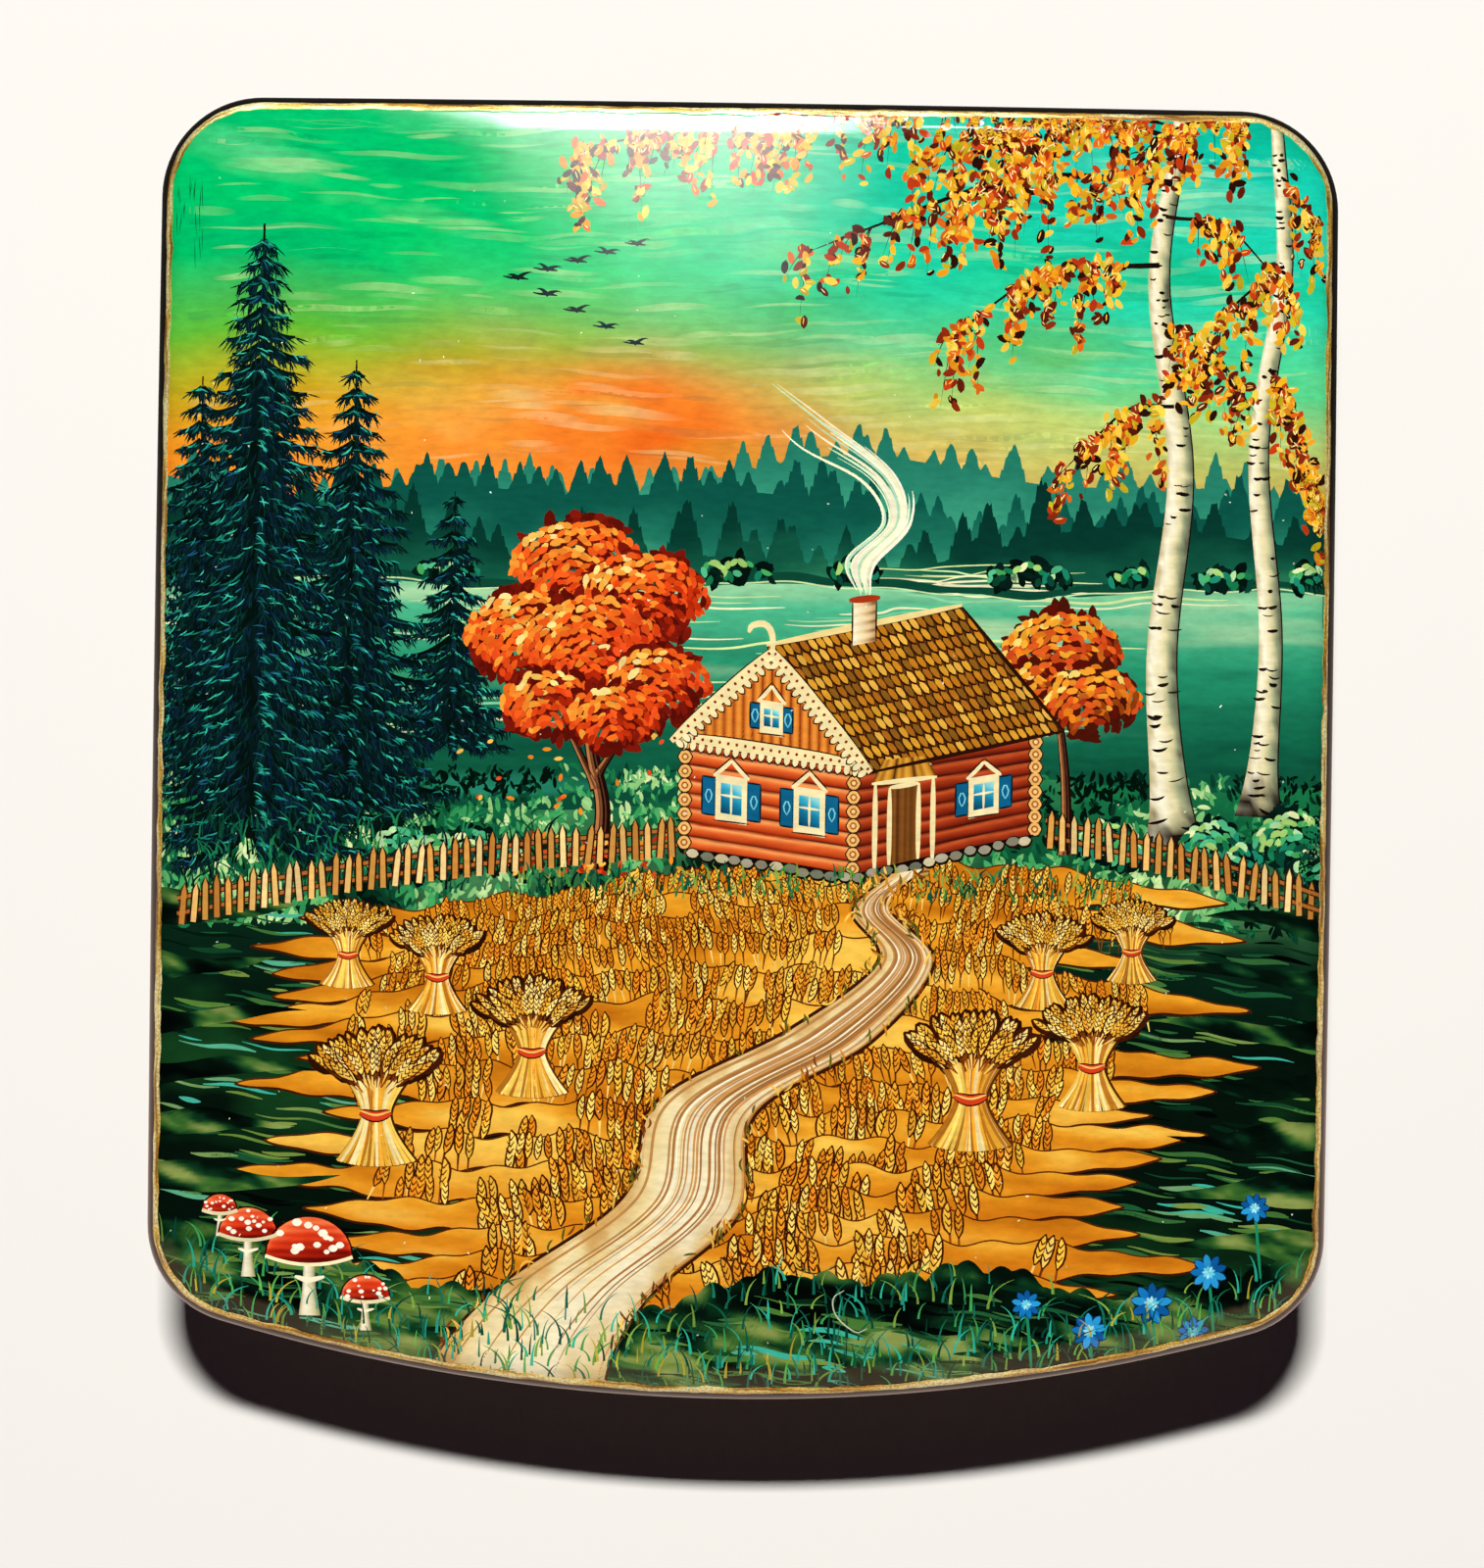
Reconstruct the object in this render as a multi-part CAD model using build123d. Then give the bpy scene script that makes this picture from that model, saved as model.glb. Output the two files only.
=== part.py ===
from build123d import *
import math
import os

# Russian lacquer box of papier-mache with a bowed front and a hinged, softly domed lid.
# Millimetres, +Z up. The origin is on the table under the middle of the base,
# the straight hinged back faces +Y and the bowed front faces -Y.

# Plan outline, shared by every ring and board
box_width = 100.0
box_depth = 110.0
back_corner_radius = 8.5
front_corner_radius = 8.5
front_bow_radius = 162.0

# Heights, from the table up
base_thickness = 3.0
body_height = 27.0
lid_frame_height = 6.5

# Wound walls: the body's ring, the thin liner glued inside it, and the lid's ring
wall_thickness = 4.0
liner_thickness = 1.0
lip_height = 3.0
lip_clearance = 0.3

# Pressed lid board: its edge, its crown and its thickness in the middle
lid_edge_thickness = 3.4
lid_crown = 3.5
lid_board_thickness = 3.4
lid_edge_radius = 3.0

# Small roundings that the lacquer leaves on the edges
base_edge_radius = 0.8
seam_edge_radius = 0.35
lip_edge_radius = 0.4

# Brass hinge at the middle of the back
hinge_length = 30.0
knuckle_count = 5
knuckle_radius = 1.2
knuckle_gap = 0.1
hinge_setback = 0.05
hinge_pin_radius = 0.5
hinge_play = 0.05
leaf_thickness = 0.6
body_leaf_depth = 8.0
lid_leaf_depth = 5.0
leaf_fit = 0.05
knuckle_clearance = 0.1

# Brass pins that cross the walls and hold the leaves
leaf_pin_radius = 0.45
leaf_pin_fit = 0.03
leaf_pin_cover = 0.7
leaf_pin_place_shares = (-0.38, -0.13, 0.13, 0.38)
leaf_pin_depth_share = 0.62

# Bevels behind the hinge axis, which let the lid tip back
bevel_angle = 52.0
bevel_setback = 0.15

# Overrun of every cut, and how much of a wall a rounding may take
overrun = 1.0
roll_limit_share = 0.9

# Places worked out from the sizes above
back_y = box_depth / 2
axis_y = back_y - knuckle_radius - hinge_setback
axis_z = body_height
leaf_y = axis_y - knuckle_radius + leaf_thickness / 2
lid_frame_thickness = wall_thickness - lip_clearance
lid_board_z = body_height + lid_frame_height
lid_top_z = lid_board_z + lid_edge_thickness + lid_crown
knuckle_pitch = hinge_length / knuckle_count


def outline(inset):
    """Face of the plan outline, drawn in by inset all round.

    The back and sides are straight, the back corners are quarter turns, and the
    bow of the front runs tangent into the two front corners.
    """
    side_x = box_width / 2 - inset
    rear_y = back_y - inset
    back_centre_x = box_width / 2 - back_corner_radius
    back_centre_y = back_y - back_corner_radius
    front_centre_x = box_width / 2 - front_corner_radius
    bow_centre_y = front_bow_radius - back_y
    reach = front_bow_radius - front_corner_radius
    front_centre_y = bow_centre_y - math.sqrt(reach**2 - front_centre_x**2)
    bow_angle = math.degrees(math.asin(front_centre_x / reach))
    turn = 90 - bow_angle
    back_radius = back_corner_radius - inset
    front_radius = front_corner_radius - inset
    edges = [
        Line((-back_centre_x, rear_y), (back_centre_x, rear_y)),
        CenterArc((back_centre_x, back_centre_y), back_radius, 90, -90),
        Line((side_x, back_centre_y), (side_x, front_centre_y)),
        CenterArc((front_centre_x, front_centre_y), front_radius, 0, -turn),
        CenterArc((0, bow_centre_y), front_bow_radius - inset, -turn, -2 * bow_angle),
        CenterArc((-front_centre_x, front_centre_y), front_radius, turn - 180, -turn),
        Line((-side_x, front_centre_y), (-side_x, back_centre_y)),
        CenterArc((-back_centre_x, back_centre_y), back_radius, 180, -90),
    ]
    return make_face(edges)


def slab(inset, low, high):
    """Board of the plan outline, drawn in by inset, between two heights."""
    return Pos(0, 0, low) * extrude(outline(inset), high - low)


def ring(outer_inset, inner_inset, low, high):
    """Wound wall between two insets of the outline, between two heights."""
    return Pos(0, 0, low) * extrude(outline(outer_inset) - outline(inner_inset), high - low)


def rim(shape, height):
    """Outer edges of the flat face that a shape has at one height."""
    face = shape.faces().filter_by_position(Axis.Z, height, height)[0]
    return face.outer_wire().edges()


def rear_bevel():
    """Wedge along the back, with its tip just in front of the hinge axis.

    The body loses the lower half and the lid the upper half, so the lid can tip
    back until the two bevels meet.
    """
    tip_y = axis_y - bevel_setback
    end_y = back_y + overrun
    rise = (end_y - tip_y) * math.tan(math.radians(bevel_angle))
    corners = [(tip_y, axis_z), (end_y, axis_z - rise), (end_y, axis_z + rise)]
    left_plane = Plane.YZ.offset(-box_width / 2 - overrun)
    wedge = left_plane * make_face(Polyline(*corners, close=True))
    return extrude(wedge, box_width + 2 * overrun)


def along_x(radius, length):
    """Round bar on the hinge axis, centred on the box."""
    return Pos(0, axis_y, axis_z) * Rot(0, 90, 0) * Cylinder(radius, length)


def knuckle_seat():
    """Round groove that the hinge barrel lies in, cut from the body and the lid."""
    return along_x(knuckle_radius + knuckle_clearance, hinge_length + 2 * knuckle_clearance)


def leaf_slot(side, depth):
    """Saw cut that a leaf slides into: side is -1 for the body and 1 for the lid."""
    cut = Box(hinge_length + 2 * leaf_fit, leaf_thickness + 2 * leaf_fit, depth + leaf_fit)
    return Pos(0, leaf_y, axis_z + side * (depth + leaf_fit) / 2) * cut


def leaf_pins(side, depth, inset, fit):
    """Row of pins through a wall and its leaf, or their holes when fit is added."""
    inner_y = back_y - inset
    outer_y = back_y - leaf_pin_cover
    height = axis_z + side * depth * leaf_pin_depth_share
    pin = Rot(90, 0, 0) * Cylinder(leaf_pin_radius + fit, outer_y - inner_y)
    middle_y = (inner_y + outer_y) / 2
    return [Pos(share * hinge_length, middle_y, height) * pin for share in leaf_pin_place_shares]


def knuckle_x(number):
    """Middle of one knuckle along the hinge, counted from the left."""
    return (number + 0.5) * knuckle_pitch - hinge_length / 2


def hinge_leaf(side, depth, own_numbers, inset):
    """Brass leaf with its knuckles: side is -1 for the body and 1 for the lid.

    The plate lies in the middle of the wall, is notched round the other leaf's
    knuckles and is rolled into its own ones, which are bored for the hinge pin.
    """
    plate = Box(hinge_length - knuckle_gap, leaf_thickness, depth)
    leaf = Pos(0, leaf_y, axis_z + side * depth / 2) * plate
    notch_depth = knuckle_radius + knuckle_clearance
    notch = Box(knuckle_pitch + knuckle_gap, leaf_thickness + overrun, 2 * notch_depth)
    barrel = Rot(0, 90, 0) * Cylinder(knuckle_radius, knuckle_pitch - knuckle_gap)
    for number in range(knuckle_count):
        if number not in own_numbers:
            leaf -= Pos(knuckle_x(number), leaf_y, axis_z) * notch
    for number in own_numbers:
        leaf += Pos(knuckle_x(number), axis_y, axis_z) * barrel
    leaf -= along_x(hinge_pin_radius + hinge_play, hinge_length + overrun)
    for hole in leaf_pins(side, depth, inset, leaf_pin_fit):
        leaf -= hole
    return leaf


def crown_ball(depth):
    """Ball whose top is the crown of the lid, lowered by depth.

    Its radius follows from the crown's rise between the back corners and the
    middle. It lies with its poles along Y, clear of the lid.
    """
    corner_x = box_width / 2 - back_corner_radius
    corner_y = back_y - back_corner_radius
    reach = math.hypot(corner_x, corner_y) + back_corner_radius
    radius = (reach**2 + lid_crown**2) / (2 * lid_crown)
    return Pos(0, 0, lid_top_z - radius) * Rot(90, 0, 0) * Sphere(radius - depth)


def base_panel():
    """Flat bottom board, glued under the wall, with a softened lower edge."""
    board = slab(0, 0, base_thickness)
    return board.fillet(base_edge_radius, rim(board, 0))


def body_wall():
    """Wound outer wall of the body, bevelled, grooved and slotted for the hinge."""
    wall = ring(0, wall_thickness, base_thickness, body_height)
    wall = wall.fillet(seam_edge_radius, rim(wall, body_height))
    wall -= rear_bevel()
    wall -= knuckle_seat()
    wall -= leaf_slot(-1, body_leaf_depth)
    for hole in leaf_pins(-1, body_leaf_depth, wall_thickness + overrun, leaf_pin_fit):
        wall -= hole
    return wall


def inner_liner():
    """Thin wound liner that stands above the wall as the lip the lid fits over."""
    top = body_height + lip_height
    liner = ring(wall_thickness, wall_thickness + liner_thickness, base_thickness, top)
    return liner.fillet(lip_edge_radius, rim(liner, top))


def lid_frame():
    """Wound side wall of the lid, which clears the lip of the body."""
    frame = ring(0, lid_frame_thickness, body_height, lid_board_z)
    frame = frame.fillet(seam_edge_radius, rim(frame, body_height))
    frame -= rear_bevel()
    frame -= knuckle_seat()
    frame -= leaf_slot(1, lid_leaf_depth)
    for hole in leaf_pins(1, lid_leaf_depth, lid_frame_thickness + overrun, leaf_pin_fit):
        frame -= hole
    return frame


def lid_panel():
    """Pressed lid board: crowned top, rolled edge and hollow underside."""
    board = slab(0, lid_board_z, lid_top_z + overrun) & crown_ball(0)
    roll = min(lid_edge_radius, lid_edge_thickness * roll_limit_share)
    board = board.fillet(roll, board.faces().sort_by(Axis.Z)[-1].edges())
    hollow = slab(lid_frame_thickness, lid_board_z, lid_top_z) & crown_ball(lid_board_thickness)
    return board - hollow


def build_parts():
    """Every piece of the box by its node name."""
    body_knuckles = range(0, knuckle_count, 2)
    lid_knuckles = range(1, knuckle_count, 2)
    body_leaf = hinge_leaf(-1, body_leaf_depth, body_knuckles, wall_thickness)
    lid_leaf = hinge_leaf(1, lid_leaf_depth, lid_knuckles, lid_frame_thickness)
    return {
        "base_panel": base_panel(),
        "body_wall": body_wall(),
        "inner_liner": inner_liner(),
        "hinge_leaf_body": body_leaf,
        "hinge_pin": along_x(hinge_pin_radius, hinge_length - knuckle_gap),
        "leaf_pins_body": Compound(leaf_pins(-1, body_leaf_depth, wall_thickness, 0)),
        "lid_frame": lid_frame(),
        "lid_panel": lid_panel(),
        "hinge_leaf_lid": lid_leaf,
        "leaf_pins_lid": Compound(leaf_pins(1, lid_leaf_depth, lid_frame_thickness, 0)),
    }


os.makedirs("parts", exist_ok=True)
for name, shape in build_parts().items():
    export_step(shape, f"parts/{name}.step")
    print(name, round(shape.volume, 2))
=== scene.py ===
import math

import bpy
import numpy as np
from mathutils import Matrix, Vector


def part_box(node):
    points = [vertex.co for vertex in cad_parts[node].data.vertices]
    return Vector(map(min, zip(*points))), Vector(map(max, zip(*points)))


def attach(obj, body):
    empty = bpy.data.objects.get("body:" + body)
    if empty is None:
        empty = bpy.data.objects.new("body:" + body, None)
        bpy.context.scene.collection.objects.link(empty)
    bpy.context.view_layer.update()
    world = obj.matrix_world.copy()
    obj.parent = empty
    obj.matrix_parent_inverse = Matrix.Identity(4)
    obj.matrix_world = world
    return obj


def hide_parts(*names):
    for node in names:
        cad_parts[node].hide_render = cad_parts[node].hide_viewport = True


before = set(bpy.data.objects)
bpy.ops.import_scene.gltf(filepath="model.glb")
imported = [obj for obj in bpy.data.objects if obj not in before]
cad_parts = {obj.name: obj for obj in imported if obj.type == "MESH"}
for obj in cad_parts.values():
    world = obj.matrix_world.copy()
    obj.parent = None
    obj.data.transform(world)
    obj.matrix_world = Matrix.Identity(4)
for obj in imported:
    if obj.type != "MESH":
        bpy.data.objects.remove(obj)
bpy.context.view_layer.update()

# The studio camera. It looks straight down on the lid, as the photograph does,
# a little forward of the middle and rolled by under a degree.
mm = 0.001
image_height_px = 1600
rim_px_per_mm = 12.009
rim_height = 35 * mm
camera_distance = 550 * mm
camera_forward = 2.8 * mm
camera_roll_deg = 0.81
sensor = 36.0


def add_object(name, data):
    """New object of a mesh, a lamp or a camera, linked into the scene."""
    made = bpy.data.objects.new(name, data)
    bpy.context.scene.collection.objects.link(made)
    return made


camera_data = bpy.data.cameras.new("studio_camera")
camera_data.sensor_width = sensor
camera_data.lens = sensor * rim_px_per_mm * (camera_distance / mm) / image_height_px
camera = add_object("studio_camera", camera_data)
camera.location = (0, -camera_forward, rim_height + camera_distance)
camera.rotation_euler = (0, 0, math.radians(camera_roll_deg))
bpy.context.scene.camera = camera


# The studio: one small soft lamp high behind the box, a dim room, two white cards, and a
# white table that keeps the shadow. The front of the room is warm, in the gloss alone.
def linear(hex_colour):
    """Linear RGBA of an sRGB hex colour: each channel below 0.04045 over 12.92, else a 2.4 power."""
    channels = [int(hex_colour[at : at + 2], 16) / 255 for at in (1, 3, 5)]
    return [c / 12.92 if c < 0.04045 else ((c + 0.055) / 1.055) ** 2.4 for c in channels] + [1.0]


def new_material(name):
    """Material, its node tree and the shader that it starts with."""
    material = bpy.data.materials.new(name)
    material.use_nodes = True
    return material, material.node_tree, material.node_tree.nodes["Principled BSDF"]


def node(tree, kind, inputs=None, stops=None, **settings):
    """Adds a shader node. inputs maps a socket to a number or to the socket that feeds it,
    and stops maps places on a colour ramp to hex colours."""
    made = tree.nodes.new("ShaderNode" + kind)
    for name, value in settings.items():
        setattr(made, name, value)
    for name, value in (inputs or {}).items():
        if isinstance(value, bpy.types.NodeSocket):
            tree.links.new(value, made.inputs[name])
        else:
            made.inputs[name].default_value = value
    if stops:
        first, *others = sorted(stops)
        elements = made.color_ramp.elements
        elements.remove(elements[1])
        elements[0].position = first
        elements[0].color = linear(stops[first])
        for at in others:
            elements.new(at).color = linear(stops[at])
    return made


floor_white = "#FBFAF6"
shadow_fill = "#140D18"
world = bpy.data.worlds.new("studio_world")
bpy.context.scene.world = world
world.use_nodes = True
tree = world.node_tree
tree.nodes.clear()
direction = node(tree, "TexCoord").outputs["Generated"]
backward = node(tree, "SeparateXYZ", {0: direction}).outputs["Y"]
depth = node(tree, "MapRange", {"Value": backward, "From Min": -1.0, "From Max": 1.0}).outputs[0]
warm_front = {0.0: "#FFE0B8", 0.30: "#FFD0A0", 0.36: "#B08A60"}
room_stops = {**warm_front, 0.385: "#141216", 0.6: "#0E0F14", 1.0: "#1C1E26"}
room = node(tree, "ValToRGB", {0: depth}, stops=room_stops).outputs["Color"]
rays = node(tree, "LightPath").outputs
colours = {"Color1": linear(shadow_fill), "Color2": room}
in_gloss = node(tree, "MixRGB", {"Fac": rays["Is Glossy Ray"], **colours}).outputs[0]
colours = {"Color1": in_gloss, "Color2": linear(floor_white)}
seen = node(tree, "MixRGB", {"Fac": rays["Is Camera Ray"], **colours})
room_light = node(tree, "Background", {"Color": seen.outputs[0], "Strength": 1.0})
node(tree, "OutputWorld", {"Surface": room_light.outputs[0]})

lamp_distance = 1.2
lamp_lean_deg = 14.4
lamp_left = 0.02
lamp_width, lamp_height, lamp_watts = 0.09, 0.035, 14.8
lamp_data = bpy.data.lights.new("soft_lamp", "AREA")
lamp_data.shape = "RECTANGLE"
lamp_data.size = lamp_width
lamp_data.size_y = lamp_height
lamp_data.energy = lamp_watts
lamp_data.color = (1.0, 0.985, 0.95)
lamp = add_object("soft_lamp", lamp_data)
lean = math.radians(lamp_lean_deg)
lamp.location = (-lamp_left, lamp_distance * math.sin(lean), lamp_distance * math.cos(lean))
lamp.rotation_euler = (-lean, 0, 0)
lamp.visible_glossy = False

card_axis_y, card_axis_z, card_reach = 52 * mm, 35.5 * mm, 1.0
card_focus = 1.5 * mm
card_axis_share = camera_distance / (camera_distance + card_reach)
card_columns, card_rows = 41, 24


def grid_quads(rows, columns):
    """Four-cornered faces over a grid of points that are listed row after row."""
    first = (np.arange(rows - 1)[:, None] * columns + np.arange(columns - 1)).ravel()
    return np.stack([first, first + 1, first + columns + 1, first + columns], -1)


def eased(t):
    """Smooth step from 0 to 1: 3 t^2 - 2 t^3."""
    t = np.clip(t, 0, 1)
    return t * t * (3 - 2 * t)


def gloss_card(name, left, right, low_lean_deg, high_lean_deg, fades, strength):
    """White card a metre behind the back edge of the lid, from left to right and between two
    leans from upright. It bends round that edge, and in a little sideways, so that the edge
    sees all of it at card_reach: there y and z run by the sine and cosine of the lean. It
    eases off towards its left, right, low and high edges over the given shares of it, and
    shows only in the gloss of what lies within card_focus of that reach. It throws no light
    or shadow."""
    u, v = np.meshgrid(np.linspace(0, 1, card_columns), np.linspace(0, 1, card_rows), indexing="ij")
    leans = np.radians(low_lean_deg + (high_lean_deg - low_lean_deg) * v)
    x = left + (right - left) * u
    bend = np.sqrt(card_reach**2 - (x * (1 - card_axis_share)) ** 2)
    points = np.stack([x, card_axis_y + bend * np.sin(leans), card_axis_z + bend * np.cos(leans)], -1)
    mesh = bpy.data.meshes.new(name)
    quads = grid_quads(card_columns, card_rows)
    mesh.from_pydata(points.reshape(-1, 3).tolist(), [], quads.tolist())
    glow = strength * eased(u / fades[0]) * eased((1 - u) / fades[1])
    glow = glow * eased(v / fades[2]) * eased((1 - v) / fades[3])
    layer = mesh.attributes.new("glow", "FLOAT", "POINT")
    layer.data.foreach_set("value", glow.astype(np.float32).ravel())
    paper, tree, _ = new_material(name + "_paper")
    tree.nodes.clear()
    power = node(tree, "Attribute", attribute_name="glow").outputs["Fac"]
    light = node(tree, "Emission", {"Color": linear("#FFFDF8"), "Strength": power})
    clear = node(tree, "BsdfTransparent")
    ray_length = node(tree, "LightPath").outputs["Ray Length"]
    reach = {"From Min": card_reach - card_focus, "From Max": card_reach}
    beyond = node(tree, "MapRange", {"Value": ray_length, **reach}).outputs[0]
    seen = node(tree, "MixShader", {"Fac": beyond, 1: light.outputs[0], 2: clear.outputs[0]})
    node(tree, "OutputMaterial", {"Surface": seen.outputs[0]})
    mesh.materials.append(paper)
    card = add_object(name, mesh)
    card.visible_camera = False
    card.visible_diffuse = False
    card.visible_shadow = False
    card.visible_transmission = False


gloss_card("white_card", -0.150, 0.072, 8, 87, (0.46, 0.38, 0.265, 0.03), 62.0)
gloss_card("narrow_card", 0.0113, 0.158, 38, 47, (0.27, 0.58, 0.3, 0.3), 26.0)

bpy.context.scene.view_settings.view_transform = "Standard"
floor_half = 1.5
floor_near, floor_far = 0.16, 0.5
floor_mesh = bpy.data.meshes.new("table_top")
signs = ((-1, -1), (1, -1), (1, 1), (-1, 1))
corners = [(floor_half * x_sign, floor_half * y_sign, 0) for x_sign, y_sign in signs]
floor_mesh.from_pydata(corners, [], [(0, 1, 2, 3)])
floor = add_object("table_top", floor_mesh)
table_paint, tree, coat = new_material("white_table_paint")
# The table is plain white, but glossy rays see it pale pink in front of the box and dark grey behind it: a
# painted reflection in the lacquer.
across = node(tree, "SeparateXYZ", {0: node(tree, "TexCoord").outputs["Object"]}).outputs["Y"]
band = node(tree, "MapRange", {"Value": across, "From Min": -0.1, "From Max": 0.1}).outputs[0]
in_gloss = node(tree, "ValToRGB", {0: band}, stops={0.35: "#F2D6C8", 0.65: "#4A4640"}).outputs["Color"]
glossy = node(tree, "LightPath").outputs["Is Glossy Ray"]
table_colour_and_painted_reflection = node(tree, "MixRGB", {"Fac": glossy, "Color1": linear("#FAF8F4"), "Color2": in_gloss})
tree.links.new(table_colour_and_painted_reflection.outputs[0], coat.inputs["Base Color"])
coat.inputs["Roughness"].default_value = 0.9
coat.inputs["Specular IOR Level"].default_value = 0.0
centre = node(tree, "TexCoord").outputs["Object"]
away = node(tree, "VectorMath", {0: centre}, operation="LENGTH").outputs["Value"]
reach = {"Value": away, "From Min": floor_near, "From Max": floor_far}
far = node(tree, "MapRange", reach, interpolation_type="SMOOTHSTEP").outputs[0]
camera_ray = node(tree, "LightPath").outputs["Is Camera Ray"]
seen = node(tree, "Math", {0: far, 1: camera_ray}, operation="MULTIPLY").outputs[0]
backdrop = node(tree, "Emission", {"Color": linear(floor_white)}).outputs[0]
floor_shader = node(tree, "MixShader", {"Fac": seen, 1: coat.outputs[0], 2: backdrop})
tree.links.new(floor_shader.outputs[0], tree.nodes["Material Output"].inputs["Surface"])
floor_mesh.materials.append(table_paint)


# The outside of the box is papier-mache under many coats of black oil lacquer, rubbed
# down between coats and polished, so it is smooth as glass with hair-fine scratches.
def lacquer(name, base, dullness=0.05):
    """Polished oil lacquer: base is a function of the tree that gives the colour's socket, and
    dullness is the roughness of its clear coat."""
    material, tree, shader = new_material(name)
    place = node(tree, "TexCoord").outputs["Object"]
    tree.links.new(base(tree, place), shader.inputs["Base Color"])
    along_rub = {"Scale": (250.0, 2500.0, 1500.0), "Rotation": (0, 0, 0.4)}
    rubbed = node(tree, "Mapping", {"Vector": place, **along_rub}).outputs[0]
    scratches = node(tree, "TexNoise", {"Vector": rubbed, "Scale": 1.0, "Detail": 2.0}).outputs["Fac"]
    waves = node(tree, "TexNoise", {"Vector": place, "Scale": 120.0, "Detail": 1.0}).outputs["Fac"]
    rub = node(tree, "Bump", {"Height": scratches, "Strength": 0.02, "Distance": 0.0001}).outputs[0]
    dips = {"Height": waves, "Strength": 0.05, "Distance": 0.0004}
    skin = node(tree, "Bump", {**dips, "Normal": rub})
    tree.links.new(skin.outputs[0], shader.inputs["Coat Normal"])
    shader.inputs["Roughness"].default_value = 0.6
    shader.inputs["Specular IOR Level"].default_value = 0.0
    shader.inputs["Coat Weight"].default_value = 1.0
    shader.inputs["Coat Roughness"].default_value = dullness
    return material


def black_base(tree, place):
    """Black with a breath of brown, mottled at a few millimetres."""
    cloud = node(tree, "TexNoise", {"Vector": place, "Scale": 90.0, "Detail": 3.0})
    tint = node(tree, "ValToRGB", {0: cloud.outputs["Fac"]}, stops={0.35: "#070605", 0.65: "#100C0A"})
    return tint.outputs["Color"]


def red_base(tree, place):
    """Cinnabar red lacquer of the inside, brushed on, so it varies along the brush."""
    stroke = node(tree, "Mapping", {"Vector": place, "Scale": (45.0, 420.0, 420.0)})
    cloud = node(tree, "TexNoise", {"Vector": stroke.outputs[0], "Scale": 1.0, "Detail": 4.0})
    tint = node(tree, "ValToRGB", {0: cloud.outputs["Fac"]}, stops={0.3: "#A51A0B", 0.7: "#B4220E"})
    return tint.outputs["Color"]


def coat_nodes(names, material):
    """Gives the CAD nodes of these names one material."""
    for name in names:
        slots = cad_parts[name].data.materials
        slots.clear()
        slots.append(material)


black_lacquer = lacquer("black_oil_lacquer", black_base)
red_lacquer = lacquer("cinnabar_red_lacquer", red_base, 0.16)
coat_nodes(("base_panel", "body_wall", "lid_frame"), black_lacquer)
coat_nodes(("inner_liner",), red_lacquer)


# The hinge is rolled sheet brass with a drawn brass pin, aged to a warm dull yellow. Its
# leaves lie in saw cuts in the two walls, and short brass pins across the walls hold them.
brass, tree, shader = new_material("aged_rolled_brass")
place = node(tree, "TexCoord").outputs["Object"]
cloud = node(tree, "TexNoise", {"Vector": place, "Scale": 900.0, "Detail": 4.0})
tint = node(tree, "ValToRGB", {0: cloud.outputs["Fac"]}, stops={0.3: "#8A6428", 0.7: "#D2A657"})
tree.links.new(tint.outputs["Color"], shader.inputs["Base Color"])
dull = node(tree, "MapRange", {"Value": cloud.outputs["Fac"], "To Min": 0.45, "To Max": 0.22})
tree.links.new(dull.outputs[0], shader.inputs["Roughness"])
shader.inputs["Metallic"].default_value = 1.0
hinge_names = ("hinge_leaf_body", "hinge_leaf_lid", "hinge_pin", "leaf_pins_body", "leaf_pins_lid")
coat_nodes(hinge_names, brass)


# The lid board is pressed from glued paper sheets in a curved mould and its edge is
# rolled over, then lacquered black. Its underside is hollow and lacquered red.
half_width = 50 * mm
half_depth = 55 * mm
corner_radius = 8.5 * mm
bow_radius = 162 * mm
frame_thickness = 3.7 * mm
board_thickness = 3.4 * mm
edge_roll = 3.0 * mm
crown_rise = 3.5 * mm
board_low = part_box("lid_panel")[0].z
crown_top = 40.4 * mm
core_x = half_width - corner_radius
core_y = half_depth - corner_radius
bow_centre_y = bow_radius - half_depth
core_bow_radius = bow_radius - corner_radius
front_corner_y = bow_centre_y - math.sqrt(core_bow_radius**2 - core_x**2)
corner_reach = math.hypot(core_x, core_y) + corner_radius
crown_radius = (corner_reach**2 + crown_rise**2) / (2 * crown_rise)
ball_z = crown_top - crown_radius


def outline_loop(fineness):
    """Points round the plan outline with their outward normals.

    Eight stretches in turn: back, corner, side, corner, bow, corner, side, corner.
    A straight is its start plus t times its run, an arc is centre plus radius times
    (cos a, sin a), and an inset of the outline is a point minus inset times its normal.
    """
    half_bow = math.asin(core_x / core_bow_radius)
    turn = math.pi / 2 - half_bow
    stretches = []

    def straight(start, end, normal, count):
        t = np.linspace(0, 1, count * fineness, endpoint=False)[:, None]
        stretches.append((np.array(start) + t * (np.array(end) - start), np.tile(normal, (len(t), 1))))

    def arc(centre, radius, start, sweep, count):
        a = start + sweep * np.linspace(0, 1, count * fineness, endpoint=False)
        ray = np.stack([np.cos(a), np.sin(a)], 1)
        stretches.append((np.array(centre) + radius * ray, ray))

    straight((-core_x, half_depth), (core_x, half_depth), (0.0, 1.0), 48)
    arc((core_x, core_y), corner_radius, math.pi / 2, -math.pi / 2, 18)
    straight((half_width, core_y), (half_width, front_corner_y), (1.0, 0.0), 48)
    arc((core_x, front_corner_y), corner_radius, 0, -turn, 16)
    arc((0, bow_centre_y), bow_radius, -turn, -2 * half_bow, 56)
    arc((-core_x, front_corner_y), corner_radius, turn - math.pi, -turn, 16)
    straight((-half_width, front_corner_y), (-half_width, core_y), (-1.0, 0.0), 48)
    arc((-core_x, core_y), corner_radius, math.pi, -math.pi / 2, 18)
    return np.concatenate([s[0] for s in stretches]), np.concatenate([s[1] for s in stretches])


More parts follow.
